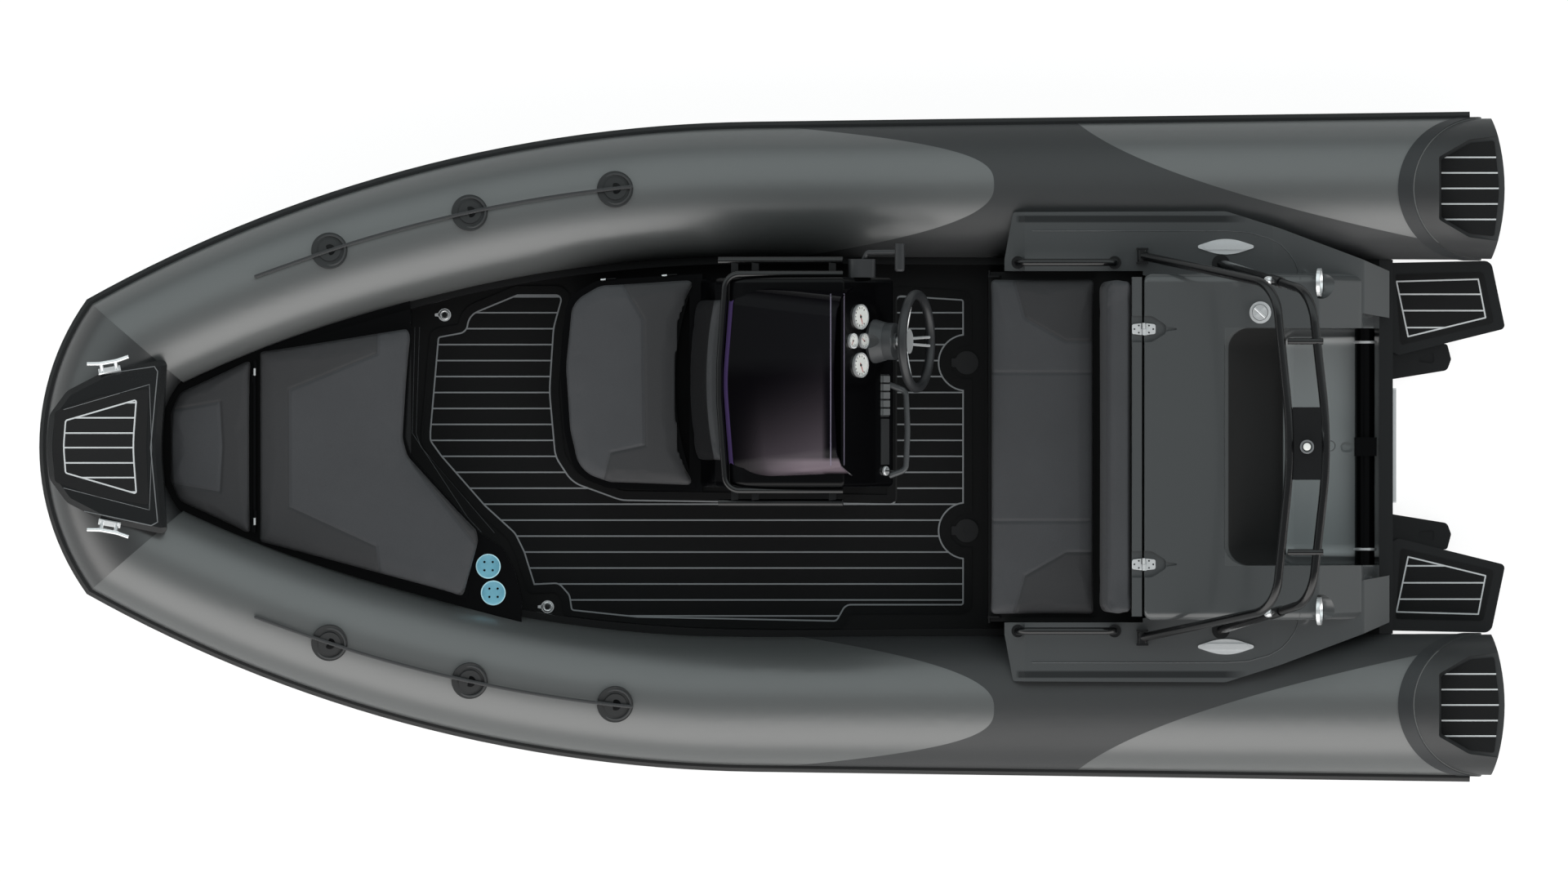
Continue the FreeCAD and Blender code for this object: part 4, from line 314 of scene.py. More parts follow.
def bright_steel(name, rough=0.12):
    """Polished stainless steel with faint wiping marks; its near-white base, only partly metallic,
    is a painted reflection of bright light from above.
    """
    finish = Finish(name, metallic=0.6, specular_ior_level=0.7)
    wipes = finish.noise(90.0, 4.0, 0.7)
    # near-white, partly diffuse: painted reflection of bright light from above
    finish.colour(finish.mix(wipes * 0.4, tone(250, 251, 252), tone(214, 217, 220)))
    finish.gloss(rough + wipes * 0.12)
    finish.bump(wipes, 0.0001)
    return finish.material


def powder_coat(name):
    """Black powder coat: fine orange peel, satin."""
    finish = Finish(name, specular_ior_level=0.5)
    peel = finish.noise(420.0, 2.0)
    finish.colour(finish.mix(finish.noise(14.0) * 0.4, tone(12, 12, 13), tone(24, 24, 26)))
    finish.gloss(0.16 + peel * 0.08)
    finish.bump(peel, 0.00015)
    return finish.material


SCREEN_FOOT_Z, SCREEN_HEAD_Z = 0.80, 1.06
# where the painted reflection of sky lies on the screen
REFLECTION_SLANT, REFLECTION_START, REFLECTION_END = -0.53, -0.287, 0.088
REFLECTION_BAND_Y, SCREEN_AFT_X = (0.036, 0.092), -0.190


def tinted_screen(name):
    """Dark violet acrylic, nearly opaque from above, glossy. A painted reflection of pale sky rises
    with the place to port and aft, a painted band of that reflection crosses the port side, and a
    painted highlight lies along the foot's edge."""
    finish = Finish(name, coat_weight=0.06, coat_roughness=0.02, alpha=0.97, specular_ior_level=0.06)
    x, y, z = finish.axes()
    haze = finish.noise(7.0, 2.0)
    height = z.ramp(SCREEN_FOOT_Z, SCREEN_HEAD_Z)
    tint = finish.mix(height * 0.7 + haze * 0.2, tone(3, 2, 4), tone(7, 5, 10))
    # painted reflection of pale sky, rising to port and aft, off the screen's aft edge and foot
    sky_reflection = (y + x * REFLECTION_SLANT).ramp(REFLECTION_START, REFLECTION_END) * (x - SCREEN_AFT_X).ramp(0.0, 0.025)
    sky_reflection = sky_reflection * z.ramp(SCREEN_FOOT_Z - 0.02, SCREEN_FOOT_Z + 0.08)
    tint = finish.mix(sky_reflection ** 2.2, tint, tone(72, 65, 71))
    # painted band of that reflection across the port side
    band = y.between(*REFLECTION_BAND_Y, 0.016, 0.012) * (0.03 - x).ramp(0.0, 0.14)
    tint = finish.mix(band, tint, tone(110, 99, 107))
    # painted highlight along the foot's edge
    lit_foot = z.ramp(SCREEN_FOOT_Z + 0.0026, SCREEN_FOOT_Z + 0.0014)
    finish.colour(finish.mix(lit_foot, tint, tone(70, 55, 94)))
    finish.gloss(0.06 + haze * 0.05)
    return finish.material


def anodised(name):
    """Teal anodised metal: satin, finely mottled, in a tone much paler than its own: painted light
    that makes up for the shade inside the cups.
    """
    finish = Finish(name, specular_ior_level=0.6)
    grain = finish.noise(300.0, 3.0)
    # pale teal: painted light over the metal's own tone
    finish.colour(finish.mix(grain * 0.5, tone(206, 246, 255), tone(168, 222, 238)))
    finish.gloss(0.34 + grain * 0.15)
    finish.bump(grain, 0.0001)
    return finish.material


def braided(name):
    """Braided rope: slanted strands from two crossed waves."""
    finish = Finish(name, specular_ior_level=0.3, sheen_weight=0.2)
    x, y, z = finish.axes()
    slant = (y + z) * 0.9
    strands = ((x + slant).wave(0.006) + (x - slant).wave(0.006)) * 160.0
    finish.colour(finish.mix(strands.ramp(0.2, 0.9), tone(34, 34, 35), tone(72, 73, 75)))
    finish.gloss(0.65 + strands * 0.05)
    finish.bump(strands, 0.0008)
    return finish.material


def printed_dial(name):
    """Off-white dial face, faintly toned."""
    finish = Finish(name, specular_ior_level=0.4)
    finish.colour(finish.mix(finish.noise(40.0) * 0.3, tone(236, 236, 232), tone(205, 206, 204)))
    finish.gloss(0.35 + finish.noise(80.0) * 0.1)
    return finish.material


SWITCHES_Y, SWITCH_PITCH, SWITCHES_HALF = -0.174, 0.028, 0.070


def switches(name):
    """Black switch plate with paler rockers at an even pitch."""
    finish = Finish(name, specular_ior_level=0.4)
    _, y, _ = finish.axes()
    along = y - SWITCHES_Y
    rocker = along.wave(SWITCH_PITCH).ramp(0.0115, 0.0105)
    rocker = rocker * abs(along).ramp(SWITCHES_HALF + 0.001, SWITCHES_HALF - 0.001)
    grains = finish.noise(350.0, 3.0, 0.6)
    plate = finish.mix(grains * 0.3, tone(44, 45, 46), tone(54, 55, 56))
    finish.colour(finish.mix(rocker, plate, tone(104, 106, 107)))
    finish.gloss(0.34 + grains * 0.1)
    finish.bump(grains, 0.0002)
    return finish.material


COVERED_X, COVERED_YS = -0.4197, (-0.545, 0.190)


def inlay(name, colour, covered):
    """Pale inlay lines of the floor; the run close behind the console is covered."""
    finish = Finish(name, specular_ior_level=0.4)
    x, y, _ = finish.axes()
    grains = finish.noise(600.0, 3.0, 0.6)
    behind = abs(x - COVERED_X).ramp(0.0065, 0.0055) * y.between(*COVERED_YS)
    pale = finish.mix(grains * 0.3, colour, tone(120, 122, 124))
    finish.colour(finish.mix(behind, pale, covered))
    finish.gloss(0.6 + grains * 0.1)
    finish.bump(grains, 0.0002)
    return finish.material


FINISHES = {
    "tube": tube_fabric("tube_fabric", True),
    # the bow tube's darker tone is painted shade
    "shaded_bow_tube": tube_fabric("bow_tube_fabric", False),
    "band": plain_rubber("band_fabric", tone(44, 46, 48), 0.36, 500.0),
    "cap": plain_rubber("cap_rubber", tone(54, 55, 56), 0.30, 300.0),
    "strake": plain_rubber("strake_rubber", tone(24, 25, 26), 0.38),
    "patch": plain_rubber("patch_rubber", tone(36, 37, 38), 0.36, 300.0),
    "hull": gelcoat("hull_gelcoat", tone(24, 25, 26), 0.16, 0.3),
    "black": gelcoat("black_gelcoat", tone(3, 3, 4), 0.16, 0.05, shine=0.11),
    "liner": gelcoat("liner_gelcoat", tone(9, 9, 10), 0.42, 0.0, shine=0.2),
    "stern": gelcoat("stern_gelcoat", tone(70, 72, 73), 0.13, 0.35, tone(150, 155, 156)),
    "decking": foam_decking("foam_decking", tone(10, 10, 11), tone(28, 29, 30)),
    "bow_decking": foam_decking("bow_decking", tone(16, 16, 17), tone(37, 37, 38)),
    "pale_line": plain_rubber("pad_core", tone(216, 218, 220), 0.6, 600.0),
    "moulding": gelcoat("bow_moulding_gelcoat", tone(24, 25, 26), 0.22, 0.12, shine=0.3),
    "vinyl": upholstery("vinyl", tone(49, 49, 51), tone(65, 66, 69)),
    # deep tone is painted shade, for the console backrest's face
    "dark_vinyl": upholstery("dark_vinyl", tone(12, 12, 13), tone(68, 69, 71), 0.14, 0.0),
    "steel": bright_steel("bright_steel"),
    "powder": powder_coat("powder_coat"),
    "screen": tinted_screen("tinted_screen"),
    "teal": anodised("teal_anodised"),
    "rope": braided("braided_rope"),
    "dial": printed_dial("dial_print"),
    "plastic": plain_rubber("moulded_plastic", tone(22, 22, 24), 0.34, 350.0),
    "rocker": switches("rocker_switches"),
    "column": plain_rubber("column_shroud", tone(72, 74, 76), 0.28, 350.0),
    # rim tone: partly the rubber's own, partly painted highlight
    "wheel_rim": plain_rubber("wheel_rim_rubber", tone(46, 47, 49), 0.26, 300.0),
    "throttle": plain_rubber("throttle_plastic", tone(50, 51, 53), 0.26, 350.0),
    # pale grey: partly painted highlight, on the grab handle and the liner's edge beads
    "handle": plain_rubber("handle_grey_and_highlight", tone(76, 78, 80), 0.18, 500.0),
    "floor_line": inlay("floor_inlay", tone(150, 153, 156), tone(20, 20, 21)),
    "red": plain_rubber("needle_red", tone(196, 34, 30), 0.35, 500.0),
    "mark": plain_rubber("dial_marks", tone(30, 30, 32), 0.5, 500.0),
    # pale violet: painted highlight on the screen's edges
    "trim": plain_rubber("screen_edge_highlight", tone(128, 120, 140), 0.22, 300.0),
    # pale grey: painted highlight on the bow moulding's rims; also the lamp's and the drain's rims
    "bead": plain_rubber("pale_rim_and_highlight", tone(118, 120, 122), 0.3, 300.0),
    "lens": plain_rubber("lamp_lens", tone(60, 62, 64), 0.2, 200.0),
}

NODES_OF_FINISH = {
    "tube": "tube_port tube_starboard",
    "shaded_bow_tube": "tube_bow",
    "band": "tube_end_bands",
    "cap": "tube_end_caps",
    "decking": "end_cap_pads floor_decking swim_platform_pads",
    "strake": "rubbing_strake",
    "hull": "hull_shell swim_platforms",
    "liner": "deck_liner bench_base bench_lid",
    "floor_line": "floor_inlay_lines",
    "plastic": "floor_sockets",
    "black": "bow_locker bow_lid_main bow_lid_small console_body console_seat_base "
        "console_seat_lid well_tube",
    "teal": "cup_holders",
    "moulding": "bow_moulding",
    "bow_decking": "bow_step_pad",
    "steel": "bow_cleats gauge_bezels steering_wheel_hub fuel_filler stern_round_fittings "
        "popup_cleats engine_plate deck_pad_eyes hinge_posts",
    "screen": "windshield",
    "powder": "windshield_rail console_side_rails side_handrails arch_stubs arch_frame",
    "dial": "gauge_faces",
    "rocker": "switch_panel",
    "throttle": "throttle_control",
    "handle": "console_grab_handle",
    "wheel_rim": "steering_wheel_rim",
    "column": "steering_column",
    "stern": "stern_moulding backrest_shell",
    "lens": "arch_light",
    "patch": "lifeline_patches",
    "pale_line": "pad_inlay_lines",
}

for finish_name, node_names in NODES_OF_FINISH.items():
    for node_name in node_names.split():
        slots = NODES[node_name].data.materials
        slots.clear()
        slots.append(FINISHES[finish_name])


# Meshes

def unit(vector):
    vector = np.asarray(vector, float)
    return vector / np.linalg.norm(vector)


def mesh_object(name, points, faces, finish, smooth=True):
    mesh = bpy.data.meshes.new(name)
    mesh.from_pydata(np.asarray(points, float).reshape(-1, 3).tolist(), [], [list(f) for f in faces])
    mesh.validate()
    mesh.update()
    mesh.polygons.foreach_set("use_smooth", np.full(len(mesh.polygons), smooth))
    piece = bpy.data.objects.new(name, mesh)
    bpy.context.collection.objects.link(piece)
    mesh.materials.append(FINISHES[finish])
    return piece


def rounded_outline(corners, spacing=0.006):
    """Closed outline through the corners (x, y, radius): straight runs and tangent arcs, sampled."""
    corners = np.asarray(corners, float)
    place, radius = corners[:, :2], corners[:, 2]
    runs = []
    for i in range(len(place)):
        point = place[i]
        back, ahead = unit(place[i - 1] - point), unit(place[(i + 1) % len(place)] - point)
        half = math.acos(float(np.clip(back @ ahead, -1, 1))) / 2.0
        if radius[i] <= 0:
            runs.append(point[None])
            continue
        reach = radius[i] / math.tan(half)
        centre = point + unit(back + ahead) * radius[i] / math.sin(half)
        start, end = point + back * reach - centre, point + ahead * reach - centre
        a0, a1 = math.atan2(start[1], start[0]), math.atan2(end[1], end[0])
        turn = (a1 - a0 + math.pi) % (2 * math.pi) - math.pi
        count = max(3, int(abs(turn) * radius[i] / spacing) + 2)
        angle = a0 + turn * np.linspace(0, 1, count)
        runs.append(centre + radius[i] * np.stack([np.cos(angle), np.sin(angle)], 1))
    joined = np.concatenate(runs)
    step = np.linalg.norm(np.roll(joined, -1, 0) - joined, axis=1)
    along = np.concatenate([[0], np.cumsum(step)])
    wrapped = np.concatenate([joined, joined[:1]])
    count = max(12, int(along[-1] / spacing))
    at = np.linspace(0, along[-1], count, endpoint=False)
    return np.stack([np.interp(at, along, wrapped[:, 0]), np.interp(at, along, wrapped[:, 1])], 1)


def anticlockwise(outline):
    ahead = np.roll(outline, -1, 0)
    return np.sum(outline[:, 0] * ahead[:, 1] - outline[:, 1] * ahead[:, 0]) > 0


def inward(outline):
    """Unit vectors pointing into a closed outline, square to it."""
    tangent = np.roll(outline, -1, 0) - np.roll(outline, 1, 0)
    tangent /= np.linalg.norm(tangent, axis=1)[:, None]
    side = 1.0 if anticlockwise(outline) else -1.0
    return np.stack([-tangent[:, 1], tangent[:, 0]], 1) * side


def offset_outline(outline, distance):
    return outline + inward(outline) * distance


def skinned(rings, closed=False):
    """Skin over rings of as many points each: lids at both ends, or a skin closed on itself."""
    rings = np.asarray(rings, float)
    count = rings.shape[1]
    index = np.arange(count)
    ahead = (index + 1) % count
    levels = len(rings) if closed else len(rings) - 1
    faces = []
    for level in range(levels):
        low, high = level * count, (level + 1) % len(rings) * count
        faces += np.stack([low + index, low + ahead, high + ahead, high + index], 1).tolist()
    if not closed:
        faces += [index[::-1].tolist(), ((len(rings) - 1) * count + index).tolist()]
    return rings.reshape(-1, 3), faces


def slab(outline, levels):
    """Closed form from one outline: a ring per (height, inset), flat lids at both ends."""
    push = inward(outline)
    points, faces = skinned([
        np.column_stack([outline + push * inset, np.full(len(outline), height)])
        for height, inset in levels])
    return points, faces if anticlockwise(outline) else [face[::-1] for face in faces]


def coordinates(mesh):
    flat = np.empty(len(mesh.vertices) * 3)
    mesh.vertices.foreach_get("co", flat)
    return flat.reshape(-1, 3)


def set_coordinates(mesh, points):
    mesh.vertices.foreach_set("co", points.ravel())
    mesh.update()


def applied(piece):
    """The piece's mesh with its modifiers applied and taken off."""
    bpy.context.view_layer.update()
    graph = bpy.context.evaluated_depsgraph_get()
    finished = bpy.data.meshes.new_from_object(piece.evaluated_get(graph))
    finished.name = piece.name
    piece.modifiers.clear()
    piece.data = finished


PAD_CELL = 0.008        # size of the remesh's cells
PAD_TRAVEL = 0.008      # longest way that cloth moves a point
PAD_PRESSURE = 4.0
PAD_FRAMES = 20
PAD_STIFFNESS = 18.0


def swell(piece):
    """Voxel remesh, then twenty frames of cloth under pressure, each point's travel capped."""
    remesh = piece.modifiers.new("remesh", "REMESH")
    remesh.mode = "VOXEL"
    remesh.voxel_size = PAD_CELL
    remesh.use_smooth_shade = True
    applied(piece)
    start = coordinates(piece.data)
    cloth = piece.modifiers.new("cloth", "CLOTH")
    cloth.settings.effector_weights.gravity = 0.0
    cloth.settings.use_pressure = True
    cloth.settings.uniform_pressure_force = PAD_PRESSURE
    cloth.settings.quality = 5
    cloth.settings.tension_stiffness = PAD_STIFFNESS
    cloth.settings.compression_stiffness = PAD_STIFFNESS
    cloth.settings.bending_stiffness = 0.8
    cloth.point_cache.frame_start = 1
    cloth.point_cache.frame_end = PAD_FRAMES
    for step in range(1, PAD_FRAMES + 1):
        bpy.context.scene.frame_set(step)
    graph = bpy.context.evaluated_depsgraph_get()
    moved = coordinates(piece.evaluated_get(graph).data)
    piece.modifiers.clear()
    travel = moved - start
    length = np.linalg.norm(travel, axis=1)[:, None]
    travel *= np.minimum(1.0, PAD_TRAVEL / np.maximum(length, 1e-9))
    set_coordinates(piece.data, start + travel)
    bpy.context.scene.frame_set(1)
    smooth = piece.modifiers.new("subdivision", "SUBSURF")
    smooth.levels = smooth.render_levels = 1
    applied(piece)
    piece.data.polygons.foreach_set("use_smooth", np.full(len(piece.data.polygons), True))


def line_distance(points, line, closed=False):
    """Distance in plan from each point to the nearest run of a line."""
    line = np.asarray(line, float)
    starts = line if closed else line[:-1]
    ends = np.roll(line, -1, 0) if closed else line[1:]
    best = np.full(len(points), 1e9)
    for a, b in zip(starts, ends):
        run = b - a
        share = np.clip(((points - a) @ run) / max(run @ run, 1e-12), 0, 1)
        best = np.minimum(best, np.linalg.norm(points - a - share[:, None] * run, axis=1))
    return best


def inside(points, outline):
    """Even-odd test of plan points against a closed outline."""
    outline = np.asarray(outline, float)
    x, y = points[:, 0], points[:, 1]
    odd = np.zeros(len(points), bool)
    for (ax, ay), (bx, by) in zip(outline, np.roll(outline, -1, 0)):
        if ay == by:
            continue
        crosses = (ay > y) != (by > y)
        odd ^= crosses & (x < (bx - ax) * (y - ay) / (by - ay) + ax)
    return odd


SEAM_DEPTH, SEAM_WIDTH = 0.004, 0.005


def panelled(piece, panel, seams):
    """Stores the signed distance to the panel's edge, and sinks the skin along every seam:
    a depth times the bell curve of the distance over a width, along the skin's own normal."""
    mesh = piece.data
    points = coordinates(mesh)
    plan = points[:, :2]
    normals = np.empty(len(points) * 3)
    mesh.vertices.foreach_get("normal", normals)
    normals = normals.reshape(-1, 3)
    edge = line_distance(plan, panel, closed=True)
    signed = np.where(inside(plan, panel), edge, -edge)
    top = normals[:, 2]
    signed = np.where(top > 0.15, signed, -np.abs(signed) - 0.01)
    layer = mesh.attributes.new("panel", "FLOAT", "POINT")
    layer.data.foreach_set("value", signed.astype(np.float32))
    sink = np.zeros(len(points))
    for line, closed in seams:
        away = line_distance(plan, line, closed)
        sink = np.maximum(sink, SEAM_DEPTH * np.exp(-(away / SEAM_WIDTH) ** 2))
    sink *= np.clip((top - 0.1) * 3.0, 0, 1)
    set_coordinates(mesh, points - normals * sink[:, None])


def upholstered(piece, body, node):
    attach(piece, body)
    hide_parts(node)


def cushion(name, node, body, corners, z0, z1, panel, seams=()):
    """A padded cushion on its lid: sides pulled in under the rim, crowned by the cloth run."""
    outline = rounded_outline(corners, PAD_CELL)
    height = z1 - z0
    levels = [
        (z0 + 0.0005, 0.006), (z0 + height * 0.12, 0.001), (z0 + height * 0.5, 0.0),
        (z0 + height * 0.80, 0.001), (z0 + height * 0.93, 0.005), (z0 + height - 0.002, 0.012),
        (z0 + height - 0.001, 0.024)]
    piece = mesh_object(name, *slab(outline, levels), "vinyl")
    swell(piece)
    points = coordinates(piece.data)
    points[:, 2] = np.clip(points[:, 2], z0 + 0.0003, z1 + 0.006)
    set_coordinates(piece.data, points)
    lines = [(np.asarray(panel, float), True)] + [(np.asarray(line, float), False) for line in seams]
    panelled(piece, panel, lines)
    upholstered(piece, body, node)


# Small forms: points and faces, joined into one mesh for each piece

def square_to(axis):
    """A unit vector square to an axis."""
    return unit(np.cross(axis, (0.0, 0.0, 1.0) if abs(axis[2]) < 0.9 else (1.0, 0.0, 0.0)))


def spokes_round(axis, side, segments):
    """Unit vectors round an axis, the first along the side."""
    angle = np.linspace(0.0, 2.0 * math.pi, segments, endpoint=False)[:, None]
    return np.cos(angle) * side + np.sin(angle) * np.cross(axis, side)


def turned(centre, axis, profile, segments=40, closed=False):
    """Form of revolution: rings of a radius at a height along an axis from a centre."""
    axis = unit(axis)
    spokes = spokes_round(axis, square_to(axis), segments)
    centre = np.asarray(centre)
    return skinned([centre + axis * height + spokes * radius for radius, height in profile], closed)


def swept(path, radius, segments, closed=False):
    """Bar along a path, of one radius or of one for each point and spoke; its frame is carried
    from point to point without twist."""
    path = np.asarray(path, float)
    radii = np.broadcast_to(np.asarray(radius, float), (len(path), segments))
    if closed:
        heading = np.roll(path, -1, 0) - np.roll(path, 1, 0)
    else:
        heading = np.gradient(path, axis=0)
    heading /= np.linalg.norm(heading, axis=1)[:, None]
    side = square_to(heading[0])
    rings = []
    for point, ahead, reach in zip(path, heading, radii):
        side = unit(side - ahead * (side @ ahead))
        rings.append(point + spokes_round(ahead, side, segments) * reach[:, None])
    return skinned(rings, closed)


def flat(outline, height, inset=0.0):
    """Plate of an outline, its top edge drawn in by the inset."""
    levels = [(0.0, 0.0), (height - inset, 0.0), (height, inset)] if inset else [(0.0, 0.0), (height, 0.0)]
    return slab(np.asarray(outline, float), levels)


def laid(form, origin, u, v):
    """The form with its x and y turned to u and v, from an origin."""
    points, faces = form
    u, v = unit(u), unit(v)
    across = points[:, :1] * u
    return np.asarray(origin) + across + points[:, 1:2] * v + points[:, 2:] * np.cross(u, v), faces


def mirrored(form):
    """The form on the other side of the boat."""
    points, faces = form
    return points * (1.0, -1.0, 1.0), [face[::-1] for face in faces]


SHARP_EDGE = math.radians(38.0)


def fitted(name, body, finish, *forms):
    """One piece of the given forms, on the body that carries it."""
    points, faces, start = [], [], 0
    for form_points, form_faces in forms:
        points.append(form_points)
        faces += [[start + corner for corner in face] for face in form_faces]
        start += len(form_points)
    piece = mesh_object(name, np.concatenate(points), faces, finish)
    piece.data.set_sharp_from_angle(angle=SHARP_EDGE)
    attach(piece, body)
    return piece


ROOFS = {}
DOWN = Vector((0.0, 0.0, -1.0))
ABOVE_ALL = 2.0


def roof(names, x, y):
    """Height of the highest of the named CAD nodes at a plan place, or None beside them."""
    heights = []
    for name in names:
        if name not in ROOFS:
            mesh = NODES[name].data
            ROOFS[name] = BVHTree.FromPolygons(
                coordinates(mesh).tolist(), [list(face.vertices) for face in mesh.polygons])
        hit = ROOFS[name].ray_cast(Vector((x, y, ABOVE_ALL)), DOWN)[0]
        if hit is not None:
            heights.append(hit.z)
    return max(heights) if heights else None


def over_roof(names, corners, lift, step=0.012):
    """Path through plan corners, lying a little above the named nodes."""
    corners = np.asarray(corners, float)
    path = []
    for start, end in zip(corners[:-1], corners[1:]):
        count = max(1, int(np.linalg.norm(end - start) / step))
        for share in np.linspace(0.0, 1.0, count, endpoint=False):
            path.append(start + (end - start) * share)
    path.append(corners[-1])
    heights = [roof(names, x, y) for x, y in path]
    return [(x, y, z + lift) for (x, y), z in zip(path, heights) if z is not None]


# Cushions

def mm(rows):
    return [tuple(v / 1000.0 for v in row) for row in rows]


cushion("bow_sunpad_main", "bow_cushion_main", "main_bow_lid", mm([
    (1244, -411, 12), (1237, -380, 30), (1256, -33, 40), (1240, 28, 60), (1005, 290, 12),
    (1000, 329, 12), (1035, 455, 30), (1052, 517, 12), (1757, 328, 8), (1757, -328, 8)]),
    0.4433, 0.500,
    mm([(1349, -470), (1349, -318), (1650, -194), (1650, 204), (1354, 340), (1342, 450),
        (1100, 530), (960, 400), (1225, 60), (1250, -60), (1225, -470)]))
cushion("bow_sunpad_small", "bow_cushion_small", "small_bow_lid", mm([
    (1779, 306, 10), (1779, -306, 10), (2030, -190, 50), (2062, -118, 50), (2062, 118, 50),
    (2030, 190, 50)]),
    0.4433, 0.500,
    mm([(1887, -153), (2050, -125), (2060, 0), (2050, 125), (1887, 153), (1878, 0)]))
cushion("front_seat_pad", "console_seat_cushion", "seat_lid", mm([
    (266, -577, 14), (594, -556, 90), (690, -500, 90), (714, -276, 300), (700, -60, 160),
    (665, 90, 110), (560, 128, 60), (268, 139, 14), (320, 20, 120), (333, -220, 300), (318, -440, 120)]),
    0.4843, 0.540,
    mm([(562, -640), (442, -435), (436, -5), (553, 20), (600, 200), (800, 200), (800, -640)]))
cushion("bench_pad", "bench_cushion", "bench_seat", mm([
    (-738, -577, 14), (-738, 577, 14), (-1099, 577, 8), (-1099, -577, 8)]),
    0.4563, 0.503,
    mm([(-730, -572), (-824, -572), (-860, -440), (-1000, -360), (-1105, -360), (-1105, 360),
        (-1000, 360), (-860, 440), (-824, 572), (-730, 572)]),
    seams=[mm([(-730, -252), (-1105, -252)]), mm([(-730, 254), (-1105, 254)])])


# Backrests, drawn in side view and carried across the boat

PAD_ALLOWANCE = 0.006   # how far a pad starts inside its profile, to be made up by the swelling


def upright_pad(name, node, body, profile, y0, y1, pale, finish="vinyl", bow=0.0):
    """A padded panel: a closed side profile carried from y0 to y1, ends drawn in, then swollen.
    Its middle stands forward of its ends by bow, falling off with the square of the place across.
    The pale tone lies where the value that pale gives of x and z is above nought."""
    outline = offset_outline(rounded_outline(profile, PAD_CELL), PAD_ALLOWANCE)
    push = inward(outline)
    rings = []
    for y, inset in (
            (y0 + 0.006, 0.016), (y0 + 0.008, 0.006), (y0 + 0.016, 0.0),
            (y1 - 0.016, 0.0), (y1 - 0.008, 0.006), (y1 - 0.006, 0.016)):
        ring = outline + push * inset
        rings.append(np.column_stack([ring[:, 0], np.full(len(ring), y), ring[:, 1]]))
    piece = mesh_object(name, *skinned(rings), finish)
    swell(piece)
    points = coordinates(piece.data)
    layer = piece.data.attributes.new("panel", "FLOAT", "POINT")
    layer.data.foreach_set("value", pale(points[:, 0], points[:, 2]).astype(np.float32))
    across = (points[:, 1] - (y0 + y1) / 2.0) / ((y1 - y0) / 2.0)
    points[:, 0] -= bow * across ** 2
    set_coordinates(piece.data, points)
    upholstered(piece, body, node)


upright_pad("aft_backrest_pad", "backrest_cushion", "backrest_panel", mm([
    (-1109, 514, 12), (-1141, 722, 30), (-1219, 731, 8), (-1219, 514, 8)]), -0.577, 0.577,
    lambda x, z: z - 0.60)
# Console backrest: the sloping face and the part aft of the top strip take the deep tone, painted shade; the
# narrow top strip takes the pale tone.
upright_pad("console_back_pad", "console_backrest", "hull", mm([
    (298, 557, 16), (216, 783, 16), (156, 783, 8), (212, 557, 8)]), -0.513, 0.059,
    lambda x, z: np.minimum(np.minimum(0.226 - x, x - 0.192), z - 0.70), "dark_vinyl", bow=0.030)


# Lifelines: a braid along the smooth line through the route's points

ROPE_RADIUS = 0.006
LIFELINE = (
    (1.7658, 0.5777, 0.6593), (1.5093, 0.6713, 0.6457), (1.2687, 0.7425, 0.6193),
    (1.0319, 0.8008, 0.5886), (0.7824, 0.8485, 0.5566), (0.5370, 0.8816, 0.5299),
    (0.4778, 0.8869, 0.5207))


def smooth_line(name, route, step):
    """Points at even steps along the NURBS line that has the route as its control points."""
    curve = bpy.data.curves.new(name, "CURVE")
    curve.dimensions = "3D"
    curve.resolution_u = 40
    spline = curve.splines.new("NURBS")
    spline.points.add(len(route) - 1)
    for control, place in zip(spline.points, route):
        control.co = (*place, 1.0)
    spline.order_u = 3
    spline.use_endpoint_u = True
    guide = bpy.data.objects.new(name, curve)
    line = coordinates(bpy.data.meshes.new_from_object(guide))
    bpy.data.objects.remove(guide)
    along = np.concatenate([[0.0], np.cumsum(np.linalg.norm(np.diff(line, axis=0), axis=1))])
    at = np.linspace(0.0, along[-1], max(8, int(along[-1] / step)))
    return at, np.stack([np.interp(at, along, line[:, axis]) for axis in range(3)], 1)


def braid(name, node, side):
    """Two families of four strands wound opposite ways. The skin stands out by a share of the
    radius on each strand: the larger of two cosines, of twice the angle round less and plus
    twice the turns that a strand has made so far. Both ends are rounded."""
    lay, relief, sides = 0.050, 0.12, 20
    route = [(x, side * y, z) for x, y, z in LIFELINE]
    at, line = smooth_line(name + "_line", route, 0.0016)
    turn = np.linspace(0.0, 2.0 * math.pi, sides, endpoint=False)[None]
    advance = (at * 4.0 * 2.0 * math.pi / lay)[:, None]
    crest = np.maximum(
        abs(np.cos(2.0 * turn - advance / 2.0)), abs(np.cos(2.0 * turn + advance / 2.0)))
    from_end = np.minimum(at, at[-1] - at)[:, None]
    closing = np.sqrt(np.clip(1.0 - (1.0 - np.clip(from_end / ROPE_RADIUS, 0.0, 1.0)) ** 2, 0.02, 1.0))
    radius = ROPE_RADIUS * (1.0 - relief + relief * crest) * closing
    piece = fitted(name, "hull", "rope", swept(line, radius, sides))
    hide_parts(node)


braid("lifeline_port", "lifeline_rope_port", 1.0)
braid("lifeline_starboard", "lifeline_rope_starboard", -1.0)


# Dials on the dash

DASH_FOOT, DASH_TOP = (-0.350, 0.780), (-0.236, 0.940)
GAUGES = (
    (-0.294, -0.441, 0.0370), (-0.294, -0.277, 0.0370),
    (-0.268, -0.359, 0.0205), (-0.306, -0.359, 0.0205))
READINGS = (-112.0, -118.0, -60.0, 35.0)
FACE_LIFT = 0.0051


